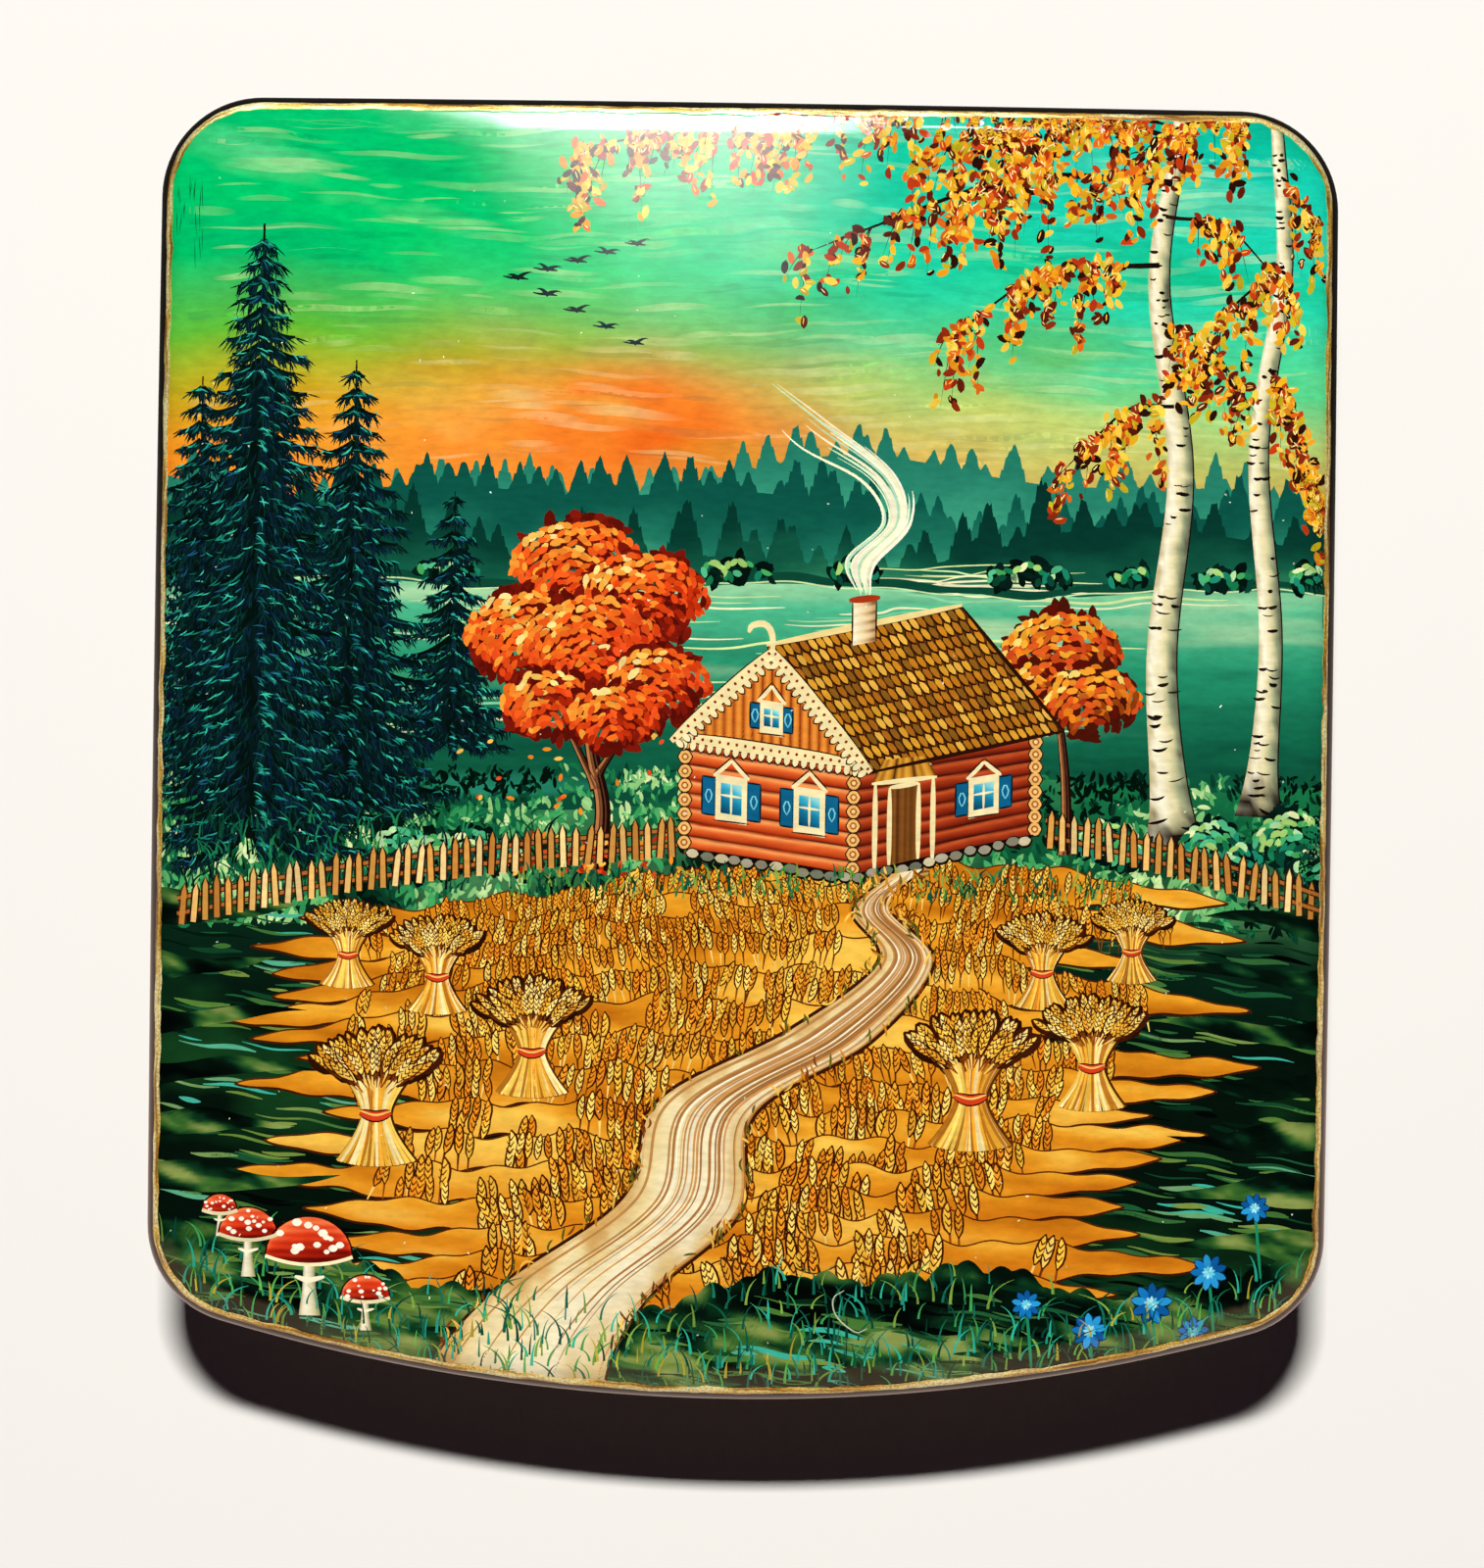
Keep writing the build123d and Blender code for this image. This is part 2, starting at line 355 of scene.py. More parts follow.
def crown_height(x, y, below=0.0):
    """Height of the crown, a ball of crown_radius less below, over the plan place (x, y)."""
    return ball_z + np.sqrt((crown_radius - below) ** 2 - x**2 - y**2)


def roll_points(share):
    """Ring on the rolled edge: share 0 is where it leaves the side and 1 where it meets the crown.

    A ball of edge_roll lies inside both. Its centre is edge_roll in from the outline, on
    the crown lowered by edge_roll, and the ring turns from the side's normal to the crown's.
    """
    centre = rim_points - edge_roll * rim_normals
    centre_z = crown_height(centre[:, 0], centre[:, 1], edge_roll)
    up = np.column_stack([centre, centre_z - ball_z]) / (crown_radius - edge_roll)
    out = np.column_stack([rim_normals, np.zeros(len(centre))])
    angle = np.arccos((up * out).sum(1))[:, None]
    ray = (np.sin((1 - share) * angle) * out + np.sin(share * angle) * up) / np.sin(angle)
    return np.column_stack([centre, centre_z]) + edge_roll * ray


def ring_quads(rings):
    """Faces between neighbours in a stack of rings of equal count."""
    count = len(rings[0])
    across = np.arange(count)
    beside = (across + 1) % count
    low = np.arange(len(rings) - 1)[:, None] * count
    high = low + count
    return np.stack([low + across, high + across, high + beside, low + beside], -1).reshape(-1, 4)


def closed_grid(name, rings, bottom, top):
    """Mesh of rings of equal count, stacked from bottom to top, with a point closing each end."""
    count = len(rings[0])
    points = np.concatenate([*rings, [bottom], [top]])
    across = np.arange(count)
    beside = (across + 1) % count
    last = (len(rings) - 1) * count
    bottom_fan = np.stack([np.full(count, len(points) - 2), across, beside], -1)
    top_fan = np.stack([np.full(count, len(points) - 1), last + beside, last + across], -1)
    faces = ring_quads(rings).tolist() + bottom_fan.tolist() + top_fan.tolist()
    mesh = bpy.data.meshes.new(name)
    mesh.from_pydata(points.tolist(), [], faces)
    mesh.shade_smooth()
    return mesh


rim_points, rim_normals = outline_loop(1)
board_rings = []
hollow_loop = rim_points - frame_thickness * rim_normals
for share in np.linspace(0.02, 1, 24):
    ring = hollow_loop * share
    board_rings.append(np.column_stack([ring, crown_height(ring[:, 0], ring[:, 1], board_thickness)]))
board_rings.append(np.column_stack([hollow_loop, np.full(len(hollow_loop), board_low)]))
hollow_row_count = len(board_rings) - 1
board_rings.append(np.column_stack([rim_points, np.full(len(rim_points), board_low)]))
for share in np.linspace(0, 1, 17):
    board_rings.append(roll_points(share))
crown_loop = board_rings[-1][:, :2]
for share in np.linspace(1, 0.02, 48)[1:]:
    ring = crown_loop * share
    board_rings.append(np.column_stack([ring, crown_height(ring[:, 0], ring[:, 1])]))
bottom_point = (0, 0, float(crown_height(0, 0, board_thickness)))
board_mesh = closed_grid("lid_board", board_rings, bottom_point, (0, 0, crown_top))
board_mesh.materials.append(black_lacquer)
board_mesh.materials.append(red_lacquer)
ring_size = len(rim_points)
red_faces = np.zeros(len(board_mesh.polygons), np.int32)
red_faces[: hollow_row_count * ring_size] = 1
first_fan = (len(board_rings) - 1) * ring_size
red_faces[first_fan : first_fan + ring_size] = 1
board_mesh.polygons.foreach_set("material_index", red_faces)
board = add_object("lid_board", board_mesh)
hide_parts("lid_panel")
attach(board, "lid")


# The inside is lacquered red all over. The coats on the floor of the body and on the inner
# wall of the lid are films a few hundredths of a millimetre thick on the black board.
red_film = 0.04 * mm
liner_inner_inset = 5 * mm
floor_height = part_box("base_panel")[1].z + red_film


def film(name, rings, body):
    """Open sheet of rings of equal count, each one joined to the next, seen from the first side."""
    mesh = bpy.data.meshes.new(name)
    mesh.from_pydata(np.concatenate(rings).tolist(), [], ring_quads(rings).tolist())
    mesh.shade_smooth()
    mesh.materials.append(red_lacquer)
    piece = add_object(name, mesh)
    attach(piece, body)


def level_ring(inset, height, shrink=1.0):
    """The outline drawn in by inset, shrunk towards the middle, at one height."""
    ring = (rim_points - inset * rim_normals) * shrink
    return np.column_stack([ring, np.full(len(ring), height)])


floor_shares = (1, 0.7, 0.4, 0.1, 0)
film("red_floor", [level_ring(liner_inner_inset, floor_height, share) for share in floor_shares], "box_body")
film_low = 27.4 * mm
wall_heights = np.linspace(film_low, board_low, 5)
film("red_lid_wall", [level_ring(frame_thickness + red_film, height) for height in wall_heights], "lid")


# The picture is painted on the lid in egg tempera, thin layer over thin layer, and sealed
# under clear lacquer. Its ground is a soft wash of sky, mist and dark earth.
line_inset = 0.95 * mm


def nearest_core(x, y):
    """Nearest place of the core shape, the outline shrunk by its corner radius.

    That is the place clipped to the core's sides and back, or else pushed onto the
    bow's circle, or else the front corner.
    """
    box_x, box_y = np.clip(x, -core_x, core_x), np.minimum(y, core_y)
    in_bow = np.hypot(box_x, box_y - bow_centre_y) <= core_bow_radius
    away = np.maximum(np.hypot(x, y - bow_centre_y), mm)
    ring_x = x * core_bow_radius / away
    ring_y = bow_centre_y + (y - bow_centre_y) * core_bow_radius / away
    on_bow = np.abs(ring_x) <= core_x
    near_x = np.where(in_bow, box_x, np.where(on_bow, ring_x, np.sign(x) * core_x))
    near_y = np.where(in_bow, box_y, np.where(on_bow, ring_y, front_corner_y))
    return near_x, near_y


priming = 0.03
thinning = 0.7


def on_lid(places, lift):
    """Points on the lid over plan places in millimetres, raised by lift in millimetres.

    A place outside the gold line is drawn in to it. Within the rolled edge the height is
    that of the rolling ball and the paint thins by (1 - thinning t^2) towards the line,
    elsewhere the height is that of the crown. The priming below keeps its thickness.
    """
    x, y = places[..., 0] * mm, places[..., 1] * mm
    near_x, near_y = nearest_core(x, y)
    away = np.hypot(x - near_x, y - near_y)
    out_x, out_y = (x - near_x) / np.maximum(away, 1e-9), (y - near_y) / np.maximum(away, 1e-9)
    inset = corner_radius - away
    pull = np.maximum(line_inset - inset, 0)
    x, y, inset = x - pull * out_x, y - pull * out_y, inset + pull
    into = np.maximum(edge_roll - inset, 0)
    ball_x, ball_y = x - into * out_x, y - into * out_y
    lean = (ball_x * out_x + ball_y * out_y) / (crown_radius - edge_roll)
    on_roll = inset < edge_roll * (1 - lean)
    roll_z = crown_height(ball_x, ball_y, edge_roll) + np.sqrt(edge_roll**2 - into**2)
    thinned = 1 - thinning * (into / (edge_roll - line_inset)) ** 2
    z = np.where(on_roll, roll_z, crown_height(x, y)) + (priming + lift * thinned) * mm
    return np.stack([x, y, z], -1)


lattice_count = 96


def cloud(x, y, size, seed, octaves=4):
    """Soft noise from 0 to 1: random heights on a lattice of size millimetres, smoothly
    blended between its four nearest, with each octave half as large and half as strong.
    A caller shifts x and y to reach another part of the same noise."""
    total, weight = 0.0, 0.0
    for octave in range(octaves):
        lattice = np.random.default_rng(seed + octave).random((lattice_count, lattice_count))
        step = size / 2**octave
        u, v = (x / step) % lattice_count, (y / step) % lattice_count
        i, j = u.astype(int), v.astype(int)
        f, g = (u - i) ** 2 * (3 - 2 * (u - i)), (v - j) ** 2 * (3 - 2 * (v - j))
        i_next, j_next = (i + 1) % lattice_count, (j + 1) % lattice_count
        low = lattice[i, j] * (1 - f) + lattice[i_next, j] * f
        high = lattice[i, j_next] * (1 - f) + lattice[i_next, j_next] * f
        total = total + (low * (1 - g) + high * g) / 2**octave
        weight += 1 / 2**octave
    return total / weight


def rgb(hex_colour):
    """Linear red, green and blue of an sRGB hex colour."""
    return np.array(linear(hex_colour)[:3])


def ramp(t, stops):
    """Linear colours for t, blended between hex stops."""
    colours = np.array([rgb(stops[at]) for at in sorted(stops)])
    return np.stack([np.interp(t, sorted(stops), channel) for channel in colours.T], -1)


def blend(low, high, t):
    """Colour low where t is 0 and high where it is 1."""
    return low + (high - low) * np.clip(t, 0, 1)[..., None]


def tempera(name):
    """Tempera under lacquer: the piece's painted colour, worked up and down a little by
    the brush, under the same clear coat as the black."""
    def painted(tree, place):
        paint = node(tree, "Attribute", attribute_name="paint").outputs["Color"]
        along_brush = {"Scale": (700.0, 1900.0, 700.0), "Rotation": (0, 0, 0.15)}
        drawn = node(tree, "Mapping", {"Vector": place, **along_brush}).outputs[0]
        hairs = {"Scale": 1.0, "Detail": 3.0, "Roughness": 0.6}
        brush = node(tree, "TexNoise", {"Vector": drawn, **hairs}).outputs["Fac"]
        reach = {"From Min": 0.3, "From Max": 0.7, "To Min": 0.9, "To Max": 1.12}
        gain = node(tree, "MapRange", {"Value": brush, **reach}).outputs[0]
        return node(tree, "VectorMath", {0: paint, "Scale": gain}, operation="SCALE").outputs[0]
    return lacquer(name, painted)


tempera_paint = tempera("egg_tempera_under_lacquer")


def paint_piece(name, sheets, material=tempera_paint):
    """One object from painted sheets, each (points, colours, quads), riding on the lid."""
    starts = np.cumsum([0] + [len(points) for points, _, _ in sheets[:-1]])
    points = np.concatenate([points for points, _, _ in sheets])
    colours = np.concatenate([colours for _, colours, _ in sheets])
    quads = np.concatenate([quads + start for (_, _, quads), start in zip(sheets, starts)])
    mesh = bpy.data.meshes.new(name)
    mesh.vertices.add(len(points))
    mesh.vertices.foreach_set("co", points.astype(np.float32).ravel())
    mesh.loops.add(quads.size)
    mesh.loops.foreach_set("vertex_index", quads.astype(np.int32).ravel())
    mesh.polygons.add(len(quads))
    mesh.polygons.foreach_set("loop_start", np.arange(0, quads.size, 4, dtype=np.int32))
    mesh.update(calc_edges=True)
    layer = mesh.color_attributes.new("paint", "FLOAT_COLOR", "POINT")
    rgba = np.column_stack([colours, np.ones(len(colours))])
    layer.data.foreach_set("color", rgba.astype(np.float32).ravel())
    mesh.shade_smooth()
    mesh.materials.append(material)
    piece = add_object(name, mesh)
    piece.visible_shadow = False
    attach(piece, "lid")


def sheet(rows_of_places, lift, colours):
    """Sheet over a (row, column, xy) grid of places, its faces counter-clockwise from above."""
    points = on_lid(rows_of_places, lift).reshape(-1, 3)
    return points, colours.reshape(-1, 3), grid_quads(*rows_of_places.shape[:2])


def between(lower, upper, rows, lift, paint):
    """Sheet from the lower to the upper line of places: each row is a blend of the two.
    paint gives the colours from x, y and the share of the way up."""
    share = np.linspace(0, 1, rows)[:, None, None]
    places = lower * (1 - share) + upper * share
    up = np.broadcast_to(share[..., 0], places.shape[:2])
    return sheet(places, lift, paint(places[..., 0], places[..., 1], up))


def wash(x, y):
    """Colours of the ground: sky over a glow, mist over far woods, and dark earth below."""
    drift = cloud(x + 200, y + 200, 16, 11) - 0.5
    height = (y - 20 + 5 * drift) / 33
    left_low = {0: "#F07A1C", 0.14: "#F0961E", 0.27: "#C0A81A"}
    left = ramp(height, {**left_low, 0.42: "#5CBC34", 0.62: "#00CC68", 1: "#00BE6C"})
    right_stops = {0: "#D8A850", 0.14: "#B8C468", 0.3: "#58D48C", 0.55: "#20D4AC", 1: "#10C8B0"}
    sky = blend(left, ramp(height, right_stops), (x + 20 + 30 * drift) / 46)
    glow = np.exp(-(((x + 14) / 22) ** 2) - ((y - 26 - 8 * drift) / 6.5) ** 2)
    sky = blend(sky, ramp(drift, {-0.3: "#FFA83A", 0.3: "#F06C1C"}), 1.3 * glow)
    streak = cloud(x / 3.2 + 0.5 * drift + 90, y + 0.12 * x + 60, 7, 23)
    lighter = ramp(height, {0: "#FFD080", 0.4: "#B8E058", 1: "#8CF0C4"})
    darker = ramp(height, {0: "#C87A10", 0.35: "#6AA818", 0.6: "#00B468", 1: "#009C66"})
    sky = blend(blend(sky, lighter, 2.2 * (streak - 0.55)), darker, 2.4 * (0.43 - streak))
    fleck = cloud(x + 20, y + 0.3 * x + 80, 1.6, 29)
    sky = sky * (0.93 + 0.16 * fleck)[..., None]
    patch = cloud(x / 1.8 + 40, y + 40, 9, 37)
    field_and_shore = {-24: "#04120A", -14: "#08281A", -6: "#10603A", 2: "#1F8E54"}
    low = ramp(y + 5 * drift, {**field_and_shore, 9: "#38A070", 14: "#0F6A54", 20: "#0A5648"})
    low = blend(low, ramp(y, {-20: "#1E5A2A", 0: "#7ED08A", 20: "#5CC49A"}), 2.2 * (patch - 0.54))
    low = blend(low, ramp(y, {-20: "#020805", 20: "#0A4238"}), 1.8 * (0.42 - patch))
    return blend(low, sky, (y - 17.5 + 3 * drift) / 3)


def crowded(count):
    """Shares from -1 to 1, s times (1.5 - 0.5 s^2), which crowd towards both ends."""
    s = np.linspace(-1, 1, count)
    return s * (1.5 - 0.5 * s**2)


ground_columns, ground_rows = 300, 320
picture_x = crowded(ground_columns) * (half_width - line_inset)
picture_corner = corner_radius - line_inset
beyond_core = np.maximum(np.abs(picture_x) - core_x, 0)
corner_arc = np.sqrt(np.maximum(picture_corner**2 - beyond_core**2, 0))
bow_arc = np.sqrt((bow_radius - line_inset) ** 2 - picture_x**2)
bow_end_x = (bow_radius - line_inset) * core_x / core_bow_radius
in_bow = np.abs(picture_x) < bow_end_x
picture_front = np.where(in_bow, bow_centre_y - bow_arc, front_corner_y - corner_arc)
front_line = np.column_stack([picture_x, picture_front]) / mm
back_line = np.column_stack([picture_x, core_y + corner_arc]) / mm
share = (crowded(ground_rows)[:, None, None] + 1) / 2
ground_places = front_line * (1 - share) + back_line * share
ground = sheet(ground_places, 0.01, wash(ground_places[..., 0], ground_places[..., 1]))
paint_piece("painted_ground", [ground])


# A line of powdered gold bound in gum is drawn by brush round the picture, on the rolled
# edge of the lid. It is uneven and a little tarnished. Its grains catch the light, and the
# palest of their colours, a pale cream, is a painted glint.
def gold_line():
    """Ribbon of six points across, between two insets of the outline that waver by noise.
    The lattice of its grain goes round the loop exactly once, so the grain closes up."""
    loop, normals = outline_loop(4)
    loop, normals = np.vstack([loop, loop[:1]]), np.vstack([normals, normals[:1]])
    x, y = loop.T / mm + 300
    front = np.clip(-loop[:, 1] / half_depth, 0, 1)
    back = np.clip(loop[:, 1] / half_depth, 0, 1) ** 4
    outer = 0.6 + 0.2 * (cloud(x, y, 2.4, 5) - 0.5) + 0.1 * (cloud(x, y, 0.8, 6) - 0.5)
    inner = outer + 0.48 + 0.1 * (front + back) + 0.36 * (cloud(x, y, 1.3, 9) - 0.5)
    share = np.linspace(0, 1, 6)[:, None]
    inset = (outer * (1 - share) + inner * share) * mm
    places = loop - inset[..., None] * normals
    into = edge_roll - inset
    ball = places - into[..., None] * normals
    body = np.array([0.01, 0.1, 0.12, 0.125, 0.125, 0.13])[:, None] * mm
    z = crown_height(*ball.transpose(2, 0, 1), edge_roll) + np.sqrt((edge_roll + body) ** 2 - into**2)
    step = np.linalg.norm(np.diff(loop, axis=0), axis=1) / mm
    run = np.concatenate([[0], np.cumsum(step)])
    cell = run[-1] / lattice_count
    grain = cloud(run + 0.4 * cell * share, 2.6 * cell * share, cell, 13)
    rub = cloud(x, y, 5, 17) + 0.5 * (np.abs(share - 0.5) - 0.25)
    # The palest cream of these grain colours is a painted glint.
    colours = ramp(grain, {0.3: "#8E5C14", 0.4: "#CC9A2C", 0.5: "#F2CC5C", 0.62: "#FFF4B4"})
    colours = blend(colours, ramp(grain, {0.3: "#5A320C", 0.7: "#C08A40"}), 3.0 * (rub - 0.6))
    points = np.concatenate([places, z[..., None]], -1)
    return points.reshape(-1, 3), colours.reshape(-1, 3), grid_quads(*points.shape[:2])


def shell_gold(name):
    """Gold powder in gum: part metal, part matt, with grains of a fifth of a millimetre."""
    material, tree, shader = new_material(name)
    place = node(tree, "TexCoord").outputs["Object"]
    paint = node(tree, "Attribute", attribute_name="paint").outputs["Color"]
    grains = node(tree, "TexNoise", {"Vector": place, "Scale": 5000.0, "Detail": 2.0})
    reach = {"From Min": 0.35, "From Max": 0.65, "To Min": 0.62, "To Max": 1.3}
    gain = node(tree, "MapRange", {"Value": grains.outputs["Fac"], **reach})
    powder = node(tree, "VectorMath", {0: paint, "Scale": gain.outputs[0]}, operation="SCALE")
    tree.links.new(powder.outputs[0], shader.inputs["Base Color"])
    relief = node(tree, "Bump", {"Height": grains.outputs["Fac"], "Strength": 0.6, "Distance": 0.0001})
    tree.links.new(relief.outputs[0], shader.inputs["Normal"])
    shader.inputs["Metallic"].default_value = 0.35
    shader.inputs["Roughness"].default_value = 0.4
    shader.inputs["Coat Weight"].default_value = 0.3
    shader.inputs["Coat Roughness"].default_value = 0.1
    return material


paint_piece("gold_line", [gold_line()], shell_gold("powdered_gold_in_gum"))


# Far woods stand in mist behind the water, three ridges of fir tops laid in flat dark
# washes, each nearer one darker, with the mist wiped up into their feet.
def level_line(left, right, y, step=0.3):
    """Places along a level line, a step apart in millimetres."""
    x = np.linspace(left, right, int((right - left) / step) + 1)
    return np.column_stack([x, np.full(len(x), float(y))])


woods_reach = 52


def skyline(x, base, rng, spacing, tall, wide):
    """Line of fir tops over x: the highest of base and one spire for each tree, which
    narrows to its tip in steps like boughs."""
    tree_x = np.arange(-woods_reach, woods_reach, spacing)
    tree_x = tree_x + rng.uniform(-0.5, 0.5, len(tree_x)) * spacing
    heights = tall * rng.uniform(0.35, 1.0, len(tree_x)) ** 1.3
    spread = np.abs(x[:, None] - tree_x) / (wide * (0.5 + heights / tall))
    spires = heights * (1 - spread - 0.09 * np.sin(22 * spread))
    return base + np.maximum(spires, 0).max(1)


def ridge_paint(number, stops):
    """Paint of one ridge: dark tops that pale into mist at the foot, broken by soft noise."""
    def paint(x, y, up):
        mist = cloud(x / 1.6 + 60, y + 60, 6, 51 + number) - 0.5
        return ramp(y + 7 * mist, stops)
    return paint


picture_side = 49.5
far_rng = np.random.default_rng(41)
ridges = []
woods_lift = 0.016
# Each ridge: its height in the picture, the spacing, height and width of its firs, and its
# colours by height.
ridge_plans = (
    (22.6, 1.6, 3.4, 0.7, {14: "#6CCB9A", 19: "#3FA584", 23: "#258068", 28: "#1C705E"}),
    (20.4, 1.7, 4.6, 0.9, {13: "#54B88A", 17: "#1F7A62", 20: "#0C5648", 26: "#084A40"}),
    (17.2, 2.0, 5.4, 1.0, {11: "#3C9A6C", 14.5: "#125A44", 17: "#063A2E", 24: "#052E28"}),
)
for number, (base, spacing, tall, wide, stops) in enumerate(ridge_plans):
    foot = level_line(-picture_side, picture_side, 12 - 0.5 * number, 0.16)
    x = foot[:, 0]
    hills = base + 1.7 * np.sin(x / 13 + 2.1 * number + 0.6) + 0.8 * np.sin(x / 5.2 + number)
    top = np.column_stack([x, skyline(x, hills, far_rng, spacing, tall, wide)])
    lift = woods_lift + 0.006 * number
    ridges.append(between(foot, top, 26, lift, ridge_paint(number, stops)))
paint_piece("far_woods", ridges)


# The lake lies still under the mist. It is a thin teal wash that takes the colour of the
# woods, drawn over with level lines of cream and green in long, slightly stepped strokes.
def curve(knots, count):
    """Smooth line of count points through given knots, with even steps in each span.
    A span from b to c is a cubic that leaves b along half of c - a and reaches c along half
    of d - b, where a and d are the knots before and after."""
    knots = np.array(knots, float)
    ends = np.vstack([2 * knots[0] - knots[1], knots, 2 * knots[-1] - knots[-2]])
    t = np.linspace(0, len(knots) - 1, count)
    i = np.minimum(t.astype(int), len(knots) - 2)
    u = (t - i)[:, None]
    a, b, c, d = ends[i], ends[i + 1], ends[i + 2], ends[i + 3]
    return 0.5 * (2 * b + (c - a) * u + (2 * a - 5 * b + 4 * c - d) * u**2 + (3 * b - a - 3 * c + d) * u**3)


# Height in millimetres between strokes that are laid side by side, so that none lie level.
stroke_step = 0.0003


def strokes(paths, widths, colours, lift):
    """Brush strokes as flat ribbons. paths is (stroke, point, xy) in millimetres, widths
    spreads over (stroke, point), colours is (stroke, channel) or (stroke, point, channel),
    and lift is one height or one a stroke. The edges lie half a width to the left and right
    of the path, and neighbours differ in height by stroke_step."""
    widths = np.broadcast_to(widths, paths.shape[:2])
    run = np.gradient(paths, axis=1)
    run /= np.maximum(np.linalg.norm(run, axis=-1, keepdims=True), 1e-9)
    side = np.stack([-run[..., 1], run[..., 0]], -1) * (widths / 2)[..., None]
    edges = np.stack([paths + side, paths - side], 2)
    count, length = paths.shape[:2]
    if colours.ndim == 2:
        colours = np.repeat(colours[:, None], length, 1)
    start = (np.arange(count)[:, None] * length + np.arange(length - 1)).ravel() * 2
    quads = np.stack([start, start + 1, start + 3, start + 2], -1)
    lift = np.asarray(lift) + stroke_step * (np.arange(count) % 3)
    points = on_lid(edges, lift.reshape(-1, 1, 1))
    return points.reshape(-1, 3), np.repeat(colours[:, :, None], 2, 2).reshape(-1, 3), quads


def one_stroke(path, widths, colour, lift):
    """A single stroke along one path in one hex colour."""
    return strokes(path[None], widths, rgb(colour)[None], lift)


def pick(rng, palette, count, spread=0.16):
    """Random linear colours from a palette of hex values, each a little lighter or darker."""
    colours = np.array([rgb(hex_colour) for hex_colour in palette])
    chosen = colours[rng.integers(len(palette), size=count)]
    return chosen * rng.uniform(1 - spread, 1 + spread, (count, 1))


def water(x, y, up):
    """Teal that pales towards the far bank, with level streaks of reflection."""
    streak = cloud(x / 7 + 30, 1.5 * y + 0.3 * np.sin(x / 4) + 50, 3, 61)
    colours = ramp(y, {-4: "#0B4A34", 2: "#12694C", 7: "#22906A", 12: "#4DB98C", 15: "#A5DDA8"})
    colours = blend(colours, ramp(y, {0: "#2FA080", 15: "#D2F0B8"}), 2.6 * (streak - 0.55))
    return blend(colours, ramp(y, {0: "#06382C", 15: "#1E7C62"}), 2.6 * (0.44 - streak))


lake_lift = 0.034
shore_x = level_line(-picture_side, picture_side, 0, 0.25)[:, 0]
near_shore = np.column_stack([shore_x, -3.4 + 1.2 * np.sin(shore_x / 9) + 0.04 * shore_x])
far_shore = np.column_stack([shore_x, 13.6 + 0.5 * np.sin(shore_x / 6 + 1)])
lake = [between(near_shore, far_shore, 60, lake_lift, water)]
lake_rng = np.random.default_rng(67)
t = np.linspace(0, 1, 40)
ripple_groups = 26
for _ in range(ripple_groups):
    left, reach = lake_rng.uniform(-50, 30), lake_rng.uniform(9, 30)
    y = -2 + 17 * lake_rng.uniform() ** 0.8
    count = lake_rng.integers(2, 6)
    start = left + lake_rng.uniform(-3, 3, (count, 1))
    x = start + reach * lake_rng.uniform(0.5, 1, (count, 1)) * t
    step = 0.45 / (1 + np.exp(-(t - lake_rng.uniform(0.25, 0.75)) * 28)) * lake_rng.choice([-1, 1])
    gap = np.arange(count)[:, None] * lake_rng.uniform(0.32, 0.5)
    wave = 0.09 * np.sin(x / lake_rng.uniform(1.2, 2.2) + lake_rng.uniform(0, 6))
    paths = np.stack([x, y + gap + step + wave], -1)
    widths = lake_rng.uniform(0.1, 0.24, (count, 1)) * np.sin(np.pi * np.clip(t, 0.004, 0.996)) ** 0.4
    tint = pick(lake_rng, ("#D8EBA0", "#BFE3A4", "#F0EDC0", "#8FD8A8"), count)
    lake.append(strokes(paths, widths, tint, lake_lift + 0.006))
bank = far_shore + (0, 0.5)
bank[:, 1] += 0.25 * np.sin(bank[:, 0] / 1.7) * np.sin(bank[:, 0] / 5.3)
lake.append(one_stroke(bank, 0.5 + 0.3 * np.sin(bank[:, 0] / 2.9) ** 2, "#0C4634", lake_lift + 0.0075))
lake.append(one_stroke(bank - (0, 0.42), 0.12, "#CFE8A8", lake_lift + 0.0085))
paint_piece("lake", lake)


# The sky is worked over with long, thin strokes a little lighter or darker than the wash
# under them, and a wedge of cranes crosses it on the left.
sky_lift = 0.0125
sky_rng = np.random.default_rng(43)
count = 460
t = np.linspace(0, 1, 12)
reach = sky_rng.uniform(3, 13, (count, 1))
x = sky_rng.uniform(-50, 44, (count, 1)) + reach * t
level = sky_rng.uniform(24, 53, (count, 1))
y = level + 0.5 * np.sin(x / 7 + level / 6) + 0.1 * np.sin(x / 1.3 + level)
tint = np.where(sky_rng.random(count) < 0.6, 0, 1)
tints = np.array([rgb("#F4F8B8"), rgb("#00704C")])[tint][:, None]
strength = sky_rng.uniform(0.06, 0.26, (count, 1)) * np.sin(np.pi * t)
widths = sky_rng.uniform(0.18, 0.8, (count, 1)) * np.sin(np.pi * np.clip(t, 0.02, 0.98)) ** 0.5
cover = 1 - np.clip((24.5 - y) / 2, 0, 1)
air = [strokes(np.stack([x, y], -1), widths * cover, blend(wash(x, y), tints, strength), sky_lift)]
wing = np.linspace(-1, 1, 11)
